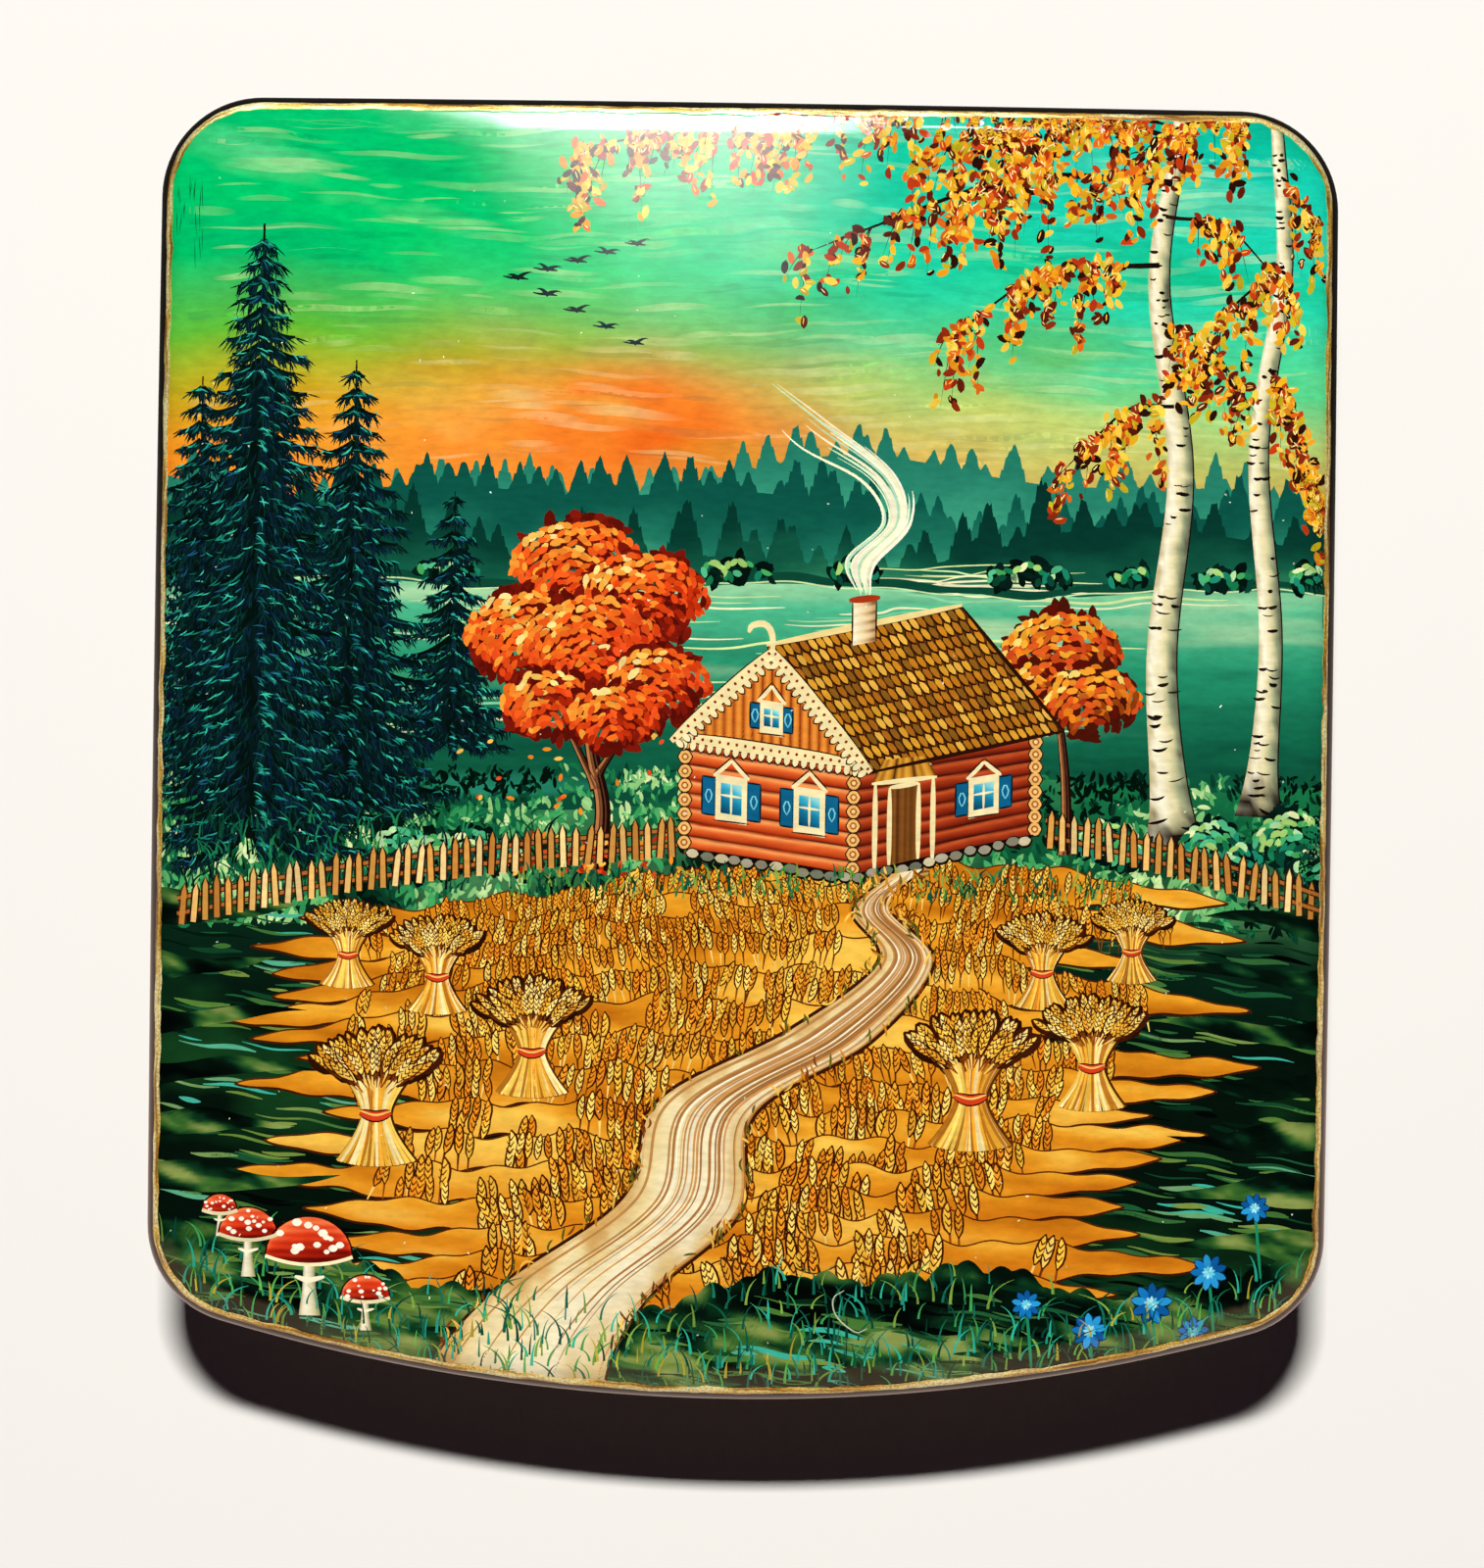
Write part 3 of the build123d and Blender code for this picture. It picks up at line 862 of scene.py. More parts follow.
for step in range(-4, 5):
    centre = np.array([-19.5, 39.6]) + abs(step) * np.array([2.5, 0.75 if step > 0 else -1.35])
    size = 1.25 - 0.05 * abs(step)
    flap = 0.5 * np.abs(wing) ** 0.8 - 0.25 * wing**4 + 0.12 * wing * (-1) ** step
    spread = centre + size * np.stack([0.9 * wing + 0.15 * np.abs(wing), flap], -1)
    ink = pick(sky_rng, ("#06201E", "#0A2A30"), 1)
    air.append(strokes(spread[None], (0.34 * size * (1.05 - np.abs(wing)))[None], ink, sky_lift + 0.002))
    neck = centre + size * np.array([(-1.0, 0.12), (-0.5, 0.02), (0.1, 0.04), (0.7, -0.08)])
    air.append(strokes(neck[None], 0.2 * size * np.array([[0.35, 0.8, 1.3, 0.4]]), ink, sky_lift + 0.0027))
paint_piece("sky_brushwork", air)


# Low growth mottles the near bank of the lake: leaf-shaped touches of the brush in dark and
# light greens, laid from the water's edge forwards so that the nearer ones lie on top.
def dabs(centres, angles, lengths, widths, colours, lift, bend=0.0, steps=5):
    """Short leaf-shaped strokes. Each is a line through its centre at its angle, bowed
    sideways by bend times half its length, as wide as the root of 1.02 - t^2. Angles,
    lengths, widths and bend are one for all or one a stroke."""
    shapes = (angles, lengths, widths, bend)
    angles, lengths, widths, bend = (np.broadcast_to(shape, len(centres)) for shape in shapes)
    t = np.linspace(-1, 1, steps + 1)
    along = t * lengths[:, None] / 2
    bow = (1 - t**2) * (bend * lengths)[:, None] / 2
    cos, sin = np.cos(angles)[:, None], np.sin(angles)[:, None]
    x = centres[:, :1] + along * cos - bow * sin
    y = centres[:, 1:] + along * sin + bow * cos
    return strokes(np.stack([x, y], -1), widths[:, None] * np.sqrt(1.02 - t**2), colours, lift)


leaf_rng = np.random.default_rng(75)
count = 3600
x = leaf_rng.uniform(-picture_side, picture_side, count)
y = -1.6 - 13.4 * np.sort(leaf_rng.random(count) ** 1.15)
tone = cloud(x / 1.3 + 60, 1.4 * y + 80, 4.5, 79) + leaf_rng.normal(0, 0.07, count)
dark_stops = {0.3: "#02120A", 0.42: "#08402A", 0.5: "#187848"}
greens = ramp(tone, {**dark_stops, 0.58: "#44A860", 0.68: "#9CD084", 0.8: "#E0F0B0"})
size = leaf_rng.uniform(0.6, 1.5, count) * (0.75 - 0.035 * y)
upright = np.pi / 2 + leaf_rng.normal(0, 0.7, count)
growth_lift = 0.043 + 0.004 * np.arange(count) / count
bend = leaf_rng.normal(0, 0.25, count)
growth = dabs(np.column_stack([x, y]), upright, size, 0.34 * size, greens, growth_lift, bend)
paint_piece("bank_growth", [growth])


# Four old firs stand on the left bank, built up from a black-green mass by thousands of
# short needle strokes, first navy and green-black and last teal where light takes a bough.
def fir(foot, height, spread, seed, lift):
    """Sheets of one fir: trunk, dark boughs and needles, the upper tiers over the lower.

    A bough leaves the trunk at its share of the height, reaches spread (1 - share)^0.8 to
    its side and hangs by 0.72 s - 0.4 s^2.5 of that reach, more where it points forwards.
    Needles lie along it, and hang.
    """
    rng = np.random.default_rng(seed)
    tiers = np.linspace(0.05, 0.97, int(height / 1.5))
    level = np.repeat(tiers, 5)
    side = np.tile([-1, 1, -0.62, 0.62, 0.1], len(tiers)) + rng.uniform(-0.08, 0.08, len(level))
    reach = spread * (1 - level) ** 0.8 * rng.uniform(0.72, 1.12, len(level)) + 0.35

    def bough_place(index, s):
        fall = (0.72 * s - 0.4 * s**2.5) * reach[index] * (1.25 - 0.25 * side[index] ** 2)
        x = foot[0] + side[index] * reach[index] * s
        return np.stack([x, foot[1] + height * level[index] - fall], -1)

    s = np.linspace(0, 1, 9)
    every = np.arange(len(level))[:, None]
    mass = strokes(bough_place(every, s), (0.5 + 0.12 * reach[:, None]) * (1.05 - s) ** 0.5,
                   pick(rng, ("#03100C", "#05181A"), len(level)), lift + 0.012 * level)
    knots = [foot, (foot[0] + 0.1, foot[1] + height * 0.5), (foot[0], foot[1] + height)]
    trunk_widths = np.linspace(0.045, 0.006, 30) * height * 0.6
    trunk = strokes(curve(knots, 30)[None], trunk_widths, pick(rng, ("#120A08",), 1), lift)
    count = int(reach.sum() * 9)
    index = rng.choice(len(level), count, p=reach / reach.sum())
    s = rng.uniform(0.06, 1, count) ** 0.8
    root = bough_place(index, s)
    lean = -np.pi / 2 + side[index] * rng.uniform(0.1, 1.15, count) + rng.normal(0, 0.25, count)
    size = rng.uniform(0.5, 1.15, count) * (0.55 + height / 60)
    centres = root + 0.45 * size[:, None] * np.stack([np.cos(lean), np.sin(lean)], -1)
    shade = pick(rng, ("#03100C", "#041812", "#051426", "#07241E", "#0A3430", "#0A2238"), count, 0.3)
    above = lift + 0.012 * level[index]
    needles = dabs(centres, lean, size, 0.13, shade, above + 0.004, steps=3)
    lit = rng.choice(count, count // 7, replace=False)
    lit = lit[s[lit] > 0.3]
    lit_lean = np.where(side[index[lit]] > 0, -0.5, np.pi + 0.5) + rng.normal(0, 0.35, len(lit))
    lit_colour = pick(rng, ("#0F5A4C", "#167A68", "#1E9884", "#3CC4A4", "#1C5A7C"), len(lit))
    tips = dabs(root[lit] + (0, 0.12), lit_lean, 0.75 * size[lit], 0.11, lit_colour,
                above[lit] + 0.006, bend=0.15, steps=3)
    return [trunk, mass, needles, tips]


fir_lift, fir_lift_step = 0.05, 0.018
fir_plans = ((-24.5, 0.5, 21, 5.6), (-46.0, -3, 34, 8.0), (-33.0, -4.5, 37, 8.5), (-41.0, -8, 52, 11.0))
firs = []
for number, (x, y, height, spread) in enumerate(fir_plans):
    firs += fir((x, y), height, spread, 71 + number, fir_lift + fir_lift_step * number)
paint_piece("old_firs", firs)


# Two birches lean over the water on the right. Their trunks are cream with a cool shaded
# side and black scars, and the hanging twigs carry small gold and russet leaves.
trunk_points, branch_points, twig_points = 120, 24, 14


def birch_trunk(knots, foot_width, tip_width, seed, lift):
    """Trunk as a sheet between two rails beside a curve, shaded across, with dark scars."""
    rng = np.random.default_rng(seed)
    middle = curve(knots, trunk_points)
    run = np.gradient(middle, axis=0)
    run /= np.linalg.norm(run, axis=1, keepdims=True)
    side = np.column_stack([-run[:, 1], run[:, 0]])
    t = np.linspace(0, 1, trunk_points)
    half = (foot_width * (1 - t) ** 0.8 + tip_width * t + 0.9 * foot_width * np.exp(-t * 26))[:, None] / 2

    def bark(x, y, up):
        colours = ramp(up + 0.5 * (cloud(x + 70, y + 70, 0.9, seed) - 0.5),
                       {0.0: "#5A5844", 0.2: "#8E9A78", 0.45: "#E8DCA8", 0.8: "#FFF8DC", 1.0: "#C8B888"})
        foot_dark = 1.2 - (y - middle[:, 1].min()) / 3.2
        foot_dark = foot_dark + 1.6 * (cloud(x + 30, y + 30, 0.8, seed + 3) - 0.5)
        return blend(colours, rgb("#1C120C"), foot_dark)

    trunk = between(middle - side * half, middle + side * half, 9, lift, bark)
    count = 90
    at = (rng.uniform(0.01, 1, count) ** 1.1 * (trunk_points - 1)).astype(int)
    across = rng.choice([-1, 1], count) * rng.uniform(0.1, 1.0, count)
    size = half[at, 0] * rng.uniform(0.35, 1.1, count)
    centres = middle[at] + side[at] * (half[at, 0] * across * 0.8)[:, None]
    angles = np.arctan2(side[at, 1], side[at, 0]) + rng.normal(0, 0.12, count)
    scar_width = rng.uniform(0.1, 0.34, count)
    scars = dabs(centres, angles, size, scar_width, pick(rng, ("#120B0A", "#241810"), count),
                 lift + 0.004, bend=rng.uniform(0.1, 0.4, count))
    edge = strokes((middle - side * half)[None], 0.12, pick(rng, ("#140C0A",), 1), lift + 0.005)
    return [trunk, scars, edge], middle


def hanging_twigs(starts, tips, seed, lift, leaf_palette, fall=7.0):
    """Branches that arch from start to tip, with twigs that hang from them and carry leaves.

    A branch is its chord raised by 0.16 of its length, but 2.6 mm at most, times sin(pi s),
    with a ripple. A twig falls by its drop times s^1.4, less a low arch, while it swings a
    little to one side.
    """
    rng = np.random.default_rng(seed)
    starts, tips = np.array(starts, float), np.array(tips, float)
    s = np.linspace(0, 1, branch_points)
    chord = tips - starts
    length = np.linalg.norm(chord, axis=1)[:, None]
    rise = np.minimum(0.16 * length, 2.6) * np.sin(np.pi * s) + 0.25 * np.sin(9 * s + starts[:, :1])
    paths = starts[:, None] + chord[:, None] * s[:, None] + np.stack([0 * rise, rise], -1)
    branches = strokes(paths, (0.14 + 0.016 * length) * (1.02 - s) ** 0.7,
                       pick(rng, ("#1A0E0A", "#24140C"), len(starts)), lift)
    count = int(length.sum() * 1.5)
    owner = rng.choice(len(starts), count, p=length[:, 0] / length.sum())
    at = rng.integers(4, branch_points, count)
    root = paths[owner, at]
    drop = fall * rng.uniform(0.25, 1.0, count)
    swing = rng.normal(0, 0.9, count) + 0.8 * np.sign(chord[owner, 0])
    s = np.linspace(0, 1, twig_points)
    twig_x = root[:, :1] + swing[:, None] * s
    twig_y = root[:, 1:] - drop[:, None] * s**1.4 + 0.3 * np.sin(np.pi * s)
    twig_paths = np.stack([twig_x, twig_y], -1)
    twigs = strokes(twig_paths, 0.13 * (1.1 - s), pick(rng, ("#1E100A",), count), lift + 0.003)
    leaves = int(drop.sum() * 2.7)
    owner = rng.choice(count, leaves, p=drop / drop.sum())
    at = rng.integers(1, twig_points, leaves)
    centres = twig_paths[owner, at] + rng.normal(0, 0.32, (leaves, 2))
    angles = -np.pi / 2 + rng.normal(0, 0.8, leaves)
    size = rng.uniform(0.6, 1.25, leaves)
    foliage = dabs(centres, angles, size, 0.52 * size, pick(rng, leaf_palette, leaves, 0.2),
                   lift + 0.006 + 0.006 * rng.random(leaves), bend=rng.normal(0, 0.2, leaves))
    glints = rng.choice(leaves, leaves // 4, replace=False)
    shine = dabs(centres[glints] + (-0.06, 0.08), angles[glints], 0.55 * size[glints], 0.1,
                 pick(rng, ("#FFE9A0", "#FFC850"), len(glints)), lift + 0.014)
    return [branches, twigs, foliage, shine]


autumn_gold = ("#F2B020", "#E8951C", "#F6CC48", "#D8641A", "#C23A14", "#C9B020", "#8C2A10",
               "#5A1A0C", "#2A1008")
tall_knots = [(36.5, -8), (35.2, 8), (36.6, 24), (34.6, 40), (36.2, 52), (36.8, 61)]
far_knots = [(43.6, -5), (44.4, 10), (43.2, 26), (45.2, 41), (44.6, 52), (44.2, 61)]
birch_lift = 0.066
tall_trunk, tall_line = birch_trunk(tall_knots, 2.9, 0.7, 91, birch_lift + 0.004)
far_trunk, far_line = birch_trunk(far_knots, 2.2, 0.6, 93, birch_lift)
# Where the branches leave each trunk, in points up it, and where their tips hang.
tall_forks, far_forks = (56, 66, 74, 82, 88, 96, 100, 104), (58, 72, 88, 100)
tall_tips = [(26, 23), (43, 29), (16, 34.5), (46, 39), (5, 42), (14, 50), (-14, 50.5), (24, 51)]
far_tips = [(48, 20), (38, 33), (48, 44), (32, 50)]
starts = [tall_line[at] for at in tall_forks] + [far_line[at] for at in far_forks]
birches = hanging_twigs(starts, tall_tips + far_tips, 95, birch_lift + 0.008, autumn_gold)
birches += far_trunk + tall_trunk
paint_piece("birches", birches)


# A maple in full colour shades the house, with a rowan behind. A crown is clumps of leaves
# laid in rows that arch over each clump, dark red below and orange to cream on top.
def crown(clumps, seed, lift, palettes):
    """Leafy clumps (x, y, radius), the first ones behind. Rows of leaves arch over a clump
    and grow lighter from its foot to its top, and each clump has a dark patch under it."""
    rng = np.random.default_rng(seed)
    sheets = []
    for number, (x, y, radius) in enumerate(clumps):
        above = lift + 0.009 * number
        count = int(60 * radius**2 / 9)
        turn, away = rng.uniform(0, 2 * np.pi, count), radius * rng.uniform(0, 0.95, count) ** 0.5
        under = np.column_stack([x + away * np.cos(turn), y + 0.86 * away * np.sin(turn)])
        sheets.append(dabs(under, rng.uniform(0, np.pi, count), rng.uniform(1.0, 2.0, count),
                           rng.uniform(0.6, 1.0, count), pick(rng, palettes[0], count), above))
        rows = int(radius / 0.5)
        for row in range(rows):
            share = (row + 0.5) / rows
            arc_radius = radius * (0.3 + 0.82 * share)
            count = int(arc_radius * 3.1 / 0.56)
            turn = np.linspace(0.02, 0.98, count) * np.pi + rng.normal(0, 0.03, count)
            foot = y - radius * 0.72 + 0.66 * radius * share
            at_x = x + arc_radius * np.cos(turn) * 0.98
            at_y = foot + arc_radius * np.sin(turn) * 0.72 + rng.normal(0, 0.09, count)
            light = share * 0.42 + 0.32 * np.sin(turn) - 0.16 * np.cos(turn) + rng.normal(0.05, 0.12, count)
            tone = np.clip((light * len(palettes)).astype(int), 0, len(palettes) - 1)
            colours = np.array([pick(rng, palettes[at], 1)[0] for at in tone])
            leaf = dabs(np.column_stack([at_x, at_y]), turn + np.pi / 2 * rng.choice([0.75, 1.25], count),
                        rng.uniform(0.75, 1.15, count), rng.uniform(0.42, 0.6, count), colours,
                        above + 0.003 + 0.0007 * (rows - row), bend=rng.normal(0, 0.25, count))
            sheets.append(leaf)
    return sheets


def pen(lines, width, colour, lift):
    """Fine brush lines through lists of knots, a little thinner towards their ends."""
    sheets = []
    for knots in lines:
        reach = np.abs(np.diff(np.array(knots, float), axis=0)).sum()
        path = curve(knots, max(8, int(reach / 0.45)))
        t = np.linspace(-1, 1, len(path))
        sheets.append(one_stroke(path, width * (1 - 0.55 * np.abs(t) ** 3), colour, lift))
    return sheets


maple_tones = (("#5A0E06", "#7A160A"), ("#A82408", "#C0300C"), ("#DC4212", "#E84E1C"), ("#F06A1C", "#EE5A1A"),
               ("#F88A2C", "#F8A038"), ("#FCC860", "#FBE08A"))
rowan_tones = (("#4A1408", "#5A0E06"), ("#8A3A0C", "#A02A0C"), ("#D04A1A", "#C8601A"), ("#E8801C", "#E05A1E"),
               ("#F0A830", "#F0962A"), ("#F8D870",))
bark_lines = ((0, 1, "#1A0A06"), (-0.3, 0.2, "#B87848"), (-0.08, 0.16, "#7A4628"), (0.2, 0.1, "#5A3020"))


def bole(knots, foot, tip, lift):
    """Bark-brown trunk or bough, flared at its foot. Each of the bark lines has its shift
    from the middle and its width as shares of the trunk's, and its colour."""
    path = curve(knots, 48)
    t = np.linspace(0, 1, 48)
    width = foot * (1 - t) ** 0.8 + tip * t + 0.8 * foot * np.exp(-16 * t)
    sheets = []
    for shift, part, colour in bark_lines:
        line = path + (shift * width)[:, None] * (1, 0)
        lift = lift + 0.0012
        sheets.append(one_stroke(line, part * width, colour, lift))
    return sheets


def scatter(rng, count, left, right, low, high):
    """Random places, evenly thrown over a rectangle."""
    return np.column_stack([rng.uniform(left, right, count), rng.uniform(low, high, count)])


bole_lift, crown_lift, fallen_lift = 0.05, 0.056, 0.13
trees = bole([(-12.2, -10.2), (-11.7, -5), (-12.8, 1), (-12.2, 8)], 1.5, 0.7, bole_lift)
trees += bole([(-12.2, -3.4), (-14.6, 1.6), (-17, 8)], 0.7, 0.3, bole_lift)
trees += bole([(-12.3, -2.4), (-9.8, 2), (-7.6, 9)], 0.7, 0.3, bole_lift)
trees += bole([(27.4, -8.4), (27.2, -2), (26.4, 5)], 1.0, 0.5, bole_lift)
rowan_clumps = [(26.8, 8.6, 4.6), (24.4, 5.0, 3.6), (29.4, 4.6, 3.8)]
maple_clumps = [(-14, 15.2, 5.4), (-8.6, 12.6, 5.2), (-18.2, 9.4, 5.0), (-12.8, 8.6, 5.6),
                (-7.2, 5.4, 4.2), (-16.2, 3.6, 3.9), (-11.0, 2.6, 3.6)]
trees += crown(rowan_clumps, 101, crown_lift, rowan_tones)
trees += crown(maple_clumps, 103, crown_lift, maple_tones)
fall_rng = np.random.default_rng(105)
count = 90
fallen = np.column_stack([fall_rng.normal(-12.5, 4.2, count), fall_rng.uniform(-10.6, -7.2, count)])
trees.append(dabs(fallen, fall_rng.uniform(0, 3, count), fall_rng.uniform(0.5, 0.9, count), 0.34,
                  pick(fall_rng, ("#D84A1E", "#A82A0C", "#F08A20", "#F6C050"), count), fallen_lift))
count = 22
drifting = scatter(fall_rng, count, -24, -4, -6, 3)
trees.append(dabs(drifting, fall_rng.uniform(0, 3, count), fall_rng.uniform(0.5, 0.8, count), 0.34,
                  pick(fall_rng, ("#E8501E", "#F08A20", "#F6C050"), count), fallen_lift))
paint_piece("maple_and_rowan", trees)


# Small bushes stand along both shores. They are painted as the trees are, in rows of leaf
# strokes over a dark patch, and the rows lighten from green-black to cream at the top.
green_tones = (("#03120C", "#051E18"), ("#0A4430", "#0A4A3A"), ("#16784C", "#1A8466"),
               ("#44A85C", "#50B884"), ("#A0CC70", "#B0DCA0"), ("#E4F0B0",))
far_bushes = ((-26.4, 15.0, 1.0), (-23.8, 15.2, 1.3), (-2.6, 15.0, 1.0), (-0.6, 15.3, 1.3),
              (1.8, 15.0, 0.9), (8.6, 15.2, 1.2), (10.8, 15.0, 0.9), (21.6, 15.0, 1.1),
              (24.0, 15.3, 1.4), (26.3, 15.0, 1.0), (31.6, 15.0, 0.9), (33.0, 15.2, 1.2),
              (39.6, 15.1, 1.3), (41.8, 15.0, 1.0), (47.6, 15.3, 1.5))
near_bushes = ((-29.0, -8.4, 2.2), (-26.0, -9.2, 2.6), (-22.4, -8.4, 2.0), (-19.8, -9.2, 1.6),
               (30.4, -7.0, 2.3), (32.8, -8.2, 1.9), (39.6, -7.4, 2.5), (41.8, -8.8, 1.9),
               (46.6, -6.8, 3.0), (48.8, -9.0, 2.4))
far_bush_lift, near_bush_lift = 0.044, 0.112
bushes = []
for number, bush in enumerate(far_bushes):
    bushes += crown([bush], 181 + number, far_bush_lift, green_tones)
for number, bush in enumerate(near_bushes):
    bushes += crown([bush], 191 + number, near_bush_lift + 0.002 * (number % 3), green_tones)
paint_piece("shore_bushes", bushes)


# The log house has round red-orange logs notched at the corners, a scalloped shingle roof,
# cream fretwork along the gable, and blue shutters beside framed windows.
def patch(corners, rows, columns, lift, paint):
    """Sheet over a four-cornered place, corners counter-clockwise from the lower left.
    paint gives the colours from the shares across and up, and from x and y."""
    a, b, c, d = np.array(corners, float)
    v, u = np.meshgrid(np.linspace(0, 1, rows), np.linspace(0, 1, columns), indexing="ij")
    wide, high = u[..., None], v[..., None]
    places = (a * (1 - wide) + b * wide) * (1 - high) + (d * (1 - wide) + c * wide) * high
    return sheet(places, lift, paint(u, v, places[..., 0], places[..., 1]))


def plain(colour):
    """Paint of one colour for a whole patch, with a breath of unevenness."""
    return lambda u, v, x, y: rgb(colour) * (0.8 + 0.4 * cloud(x + 80, y + 80, 1.1, 7))[..., None]


def boards(count, stops, level=False):
    """Paint of a patch in boards, side by side or, where level, one above the other. The
    stops colour each board across."""
    return lambda u, v, x, y: ramp(((v if level else u) * count) % 1, stops)


def quad_edges(quad):
    """The four edges of a four-cornered place, in its own order."""
    return [[start, end] for start, end in zip(quad, [*quad[1:], quad[0]])]


house_cream, outline_brown, dark_brown, roof_gold = "#F4E2A6", "#3A1408", "#2A1006", "#E8B044"
frame_cream = "#F6E6B0"
log_count = 8
front_left, front_right = np.array([-4.6, -8.4]), np.array([9.4, -10.4])
side_end = np.array([24.6, -6.8])
wall_rise = np.array([0.0, 9.6])
side_rise = np.array([0.0, 8.4])


def logs(darkest, low, middle, top):
    """Paint of a log wall: each course goes from a dark seam up to a lit top, with grain."""
    def paint(u, v, x, y):
        course = (v * log_count) % 1
        grain = cloud(x / 5 + 40, y + 40, 0.8, 111) - 0.5
        stops = {0: darkest, 0.12: low, 0.55: middle, 0.82: top, 0.95: low, 1: darkest}
        return ramp(np.clip(course + 0.25 * grain, 0, 1), stops)
    return paint


def on_front(u, v):
    """Place on the front wall: u across from 0 to 1, v up in walls' heights."""
    return front_left + u * (front_right - front_left) + v * wall_rise


def on_side(u, v):
    """Place on the side wall: u along it from 0 to 1, v up in walls' heights."""
    return front_right + u * (side_end - front_right) + v * (wall_rise + u * (side_rise - wall_rise))


def wall_quad(place, u_low, u_high, v_low, v_high):
    """Corners of an upright rectangle on a wall."""
    return [place(u_low, v_low), place(u_high, v_low), place(u_high, v_high), place(u_low, v_high)]


side_logs = logs("#240806", "#6A1A0C", "#A83616", "#C8582A")
front_logs = logs("#2E0A06", "#B03210", "#E8662A", "#FBA860")
wall_lift, roof_lift, trim_lift, ridge_lift, chimney_lift = 0.13, 0.142, 0.15, 0.182, 0.188
house = [patch(wall_quad(on_side, 0, 1, 0, 1), 65, 40, wall_lift, side_logs),
         patch(wall_quad(on_front, 0, 1, 0, 1), 65, 40, wall_lift + 0.004, front_logs)]
apex = on_front(0.5, 1.86)
gable = [on_front(0, 1), on_front(1, 1), apex, apex]


def gable_boards(u, v, x, y):
    """Upright boards of the gable, orange with dark joints."""
    seam = (x * 1.25) % 1
    return ramp(seam, {0: "#4A1408", 0.14: "#C85A1C", 0.5: "#F09A3A", 0.85: "#E07A26", 1: "#4A1408"})


house.append(patch(gable, 40, 90, wall_lift + 0.006, gable_boards))
eave_front = on_front(1.1, 0.93)
eave_left = on_front(-0.1, 0.93)
depth_top, depth_eave = np.array([15.4, 3.6]), np.array([16.2, 3.7])
roof = [eave_front, eave_front + depth_eave, apex + depth_top + (0.5, 0.3), apex + (-0.5, 0.3)]
roof_paint = {0: "#3A1C0A", 0.5: "#6A3A12", 1: "#4A2A10"}
house.append(patch(roof, 30, 50, roof_lift, lambda u, v, x, y: ramp(v, roof_paint)))
house_rng = np.random.default_rng(113)
shingle_rows, shingle_columns, shingle_size = 11, 25, 1.45
shingle_tones = ("#C8801E", "#D89A2C", "#A8641A", roof_gold, "#8A5A1A", "#B8741C")
slope = math.atan2(*(roof[3] - roof[0])[::-1])
for row in range(shingle_rows):
    count = shingle_columns
    u = (np.arange(count) + (0.5 if row % 2 else 0.1) + house_rng.normal(0, 0.05, count)) / count
    v = (shingle_rows - row - 0.55) / shingle_rows
    low_edge = roof[0] + u[:, None] * (roof[1] - roof[0])
    high_edge = roof[3] + u[:, None] * (roof[2] - roof[3])
    places = low_edge * (1 - v) + high_edge * v
    tone = pick(house_rng, shingle_tones, count, 0.1)
    lift = roof_lift + 0.004 + 0.0028 * (shingle_rows - row)
    dark = pick(house_rng, (dark_brown,), count)
    house.append(dabs(places, slope, shingle_size, 0.66, dark, lift))
    house.append(dabs(places + (0.03, 0.08), slope, 0.86 * shingle_size, 0.48, tone, lift + 0.0014))
house += pen(quad_edges(roof)[:3], 0.34, dark_brown, ridge_lift)
house += pen([[roof[3] + (0, 0.15), roof[2] + (0, 0.15)]], 0.55, "#F2D890", ridge_lift + 0.002)


def fretwork(start, end, lift):
    """Cream board from start to end with a dark edge, a row of teeth and a row of holes."""
    start, end = np.array(start), np.array(end)
    run = (end - start) / np.linalg.norm(end - start)
    across = np.array([run[1], -run[0]]) * np.sign(run[0])
    count = int(np.linalg.norm(end - start) / 0.72)
    places = start + (np.arange(count)[:, None] + 0.5) / count * (end - start)
    angle = math.atan2(across[1], across[0])
    rng = np.random.default_rng(5)
    cream = pick(rng, (frame_cream,), count, 0.05)
    teeth = dabs(places + 0.62 * across, angle, 0.85, 0.5, cream, lift)
    board = pen([[start, end]], 1.25, dark_brown, lift - 0.003)
    board += pen([[start, end]], 1.0, house_cream, lift + 0.002)
    holes = dabs(places, angle, 0.3, 0.24, pick(rng, ("#8A2A10",), count, 0.05), lift + 0.004)
    dark = dabs(places + 0.72 * across, angle, 0.95, 0.62, pick(rng, (dark_brown,), count), lift - 0.002)
    return [dark, teeth, *board, holes]


house += fretwork(apex, eave_left, ridge_lift + 0.008)
house += fretwork(apex, eave_front, ridge_lift + 0.008)
house += fretwork(on_front(-0.04, 0.985), on_front(1.04, 0.985), ridge_lift - 0.006)
ridge_horn = [apex + bend for bend in ((0, -0.6), (0, 1.2), (-0.6, 2.2), (-1.7, 2.1), (-2.0, 1.5))]
house += pen([ridge_horn], 0.55, house_cream, ridge_lift + 0.018)


glass = {0: "#07304A", 0.6: "#1478A0", 1: "#3CB4D0", 1.3: "#A8E8E0"}
lozenge = ((0, -0.6), (0.28, 0), (0, 0.6), (-0.28, 0), (0, -0.6))


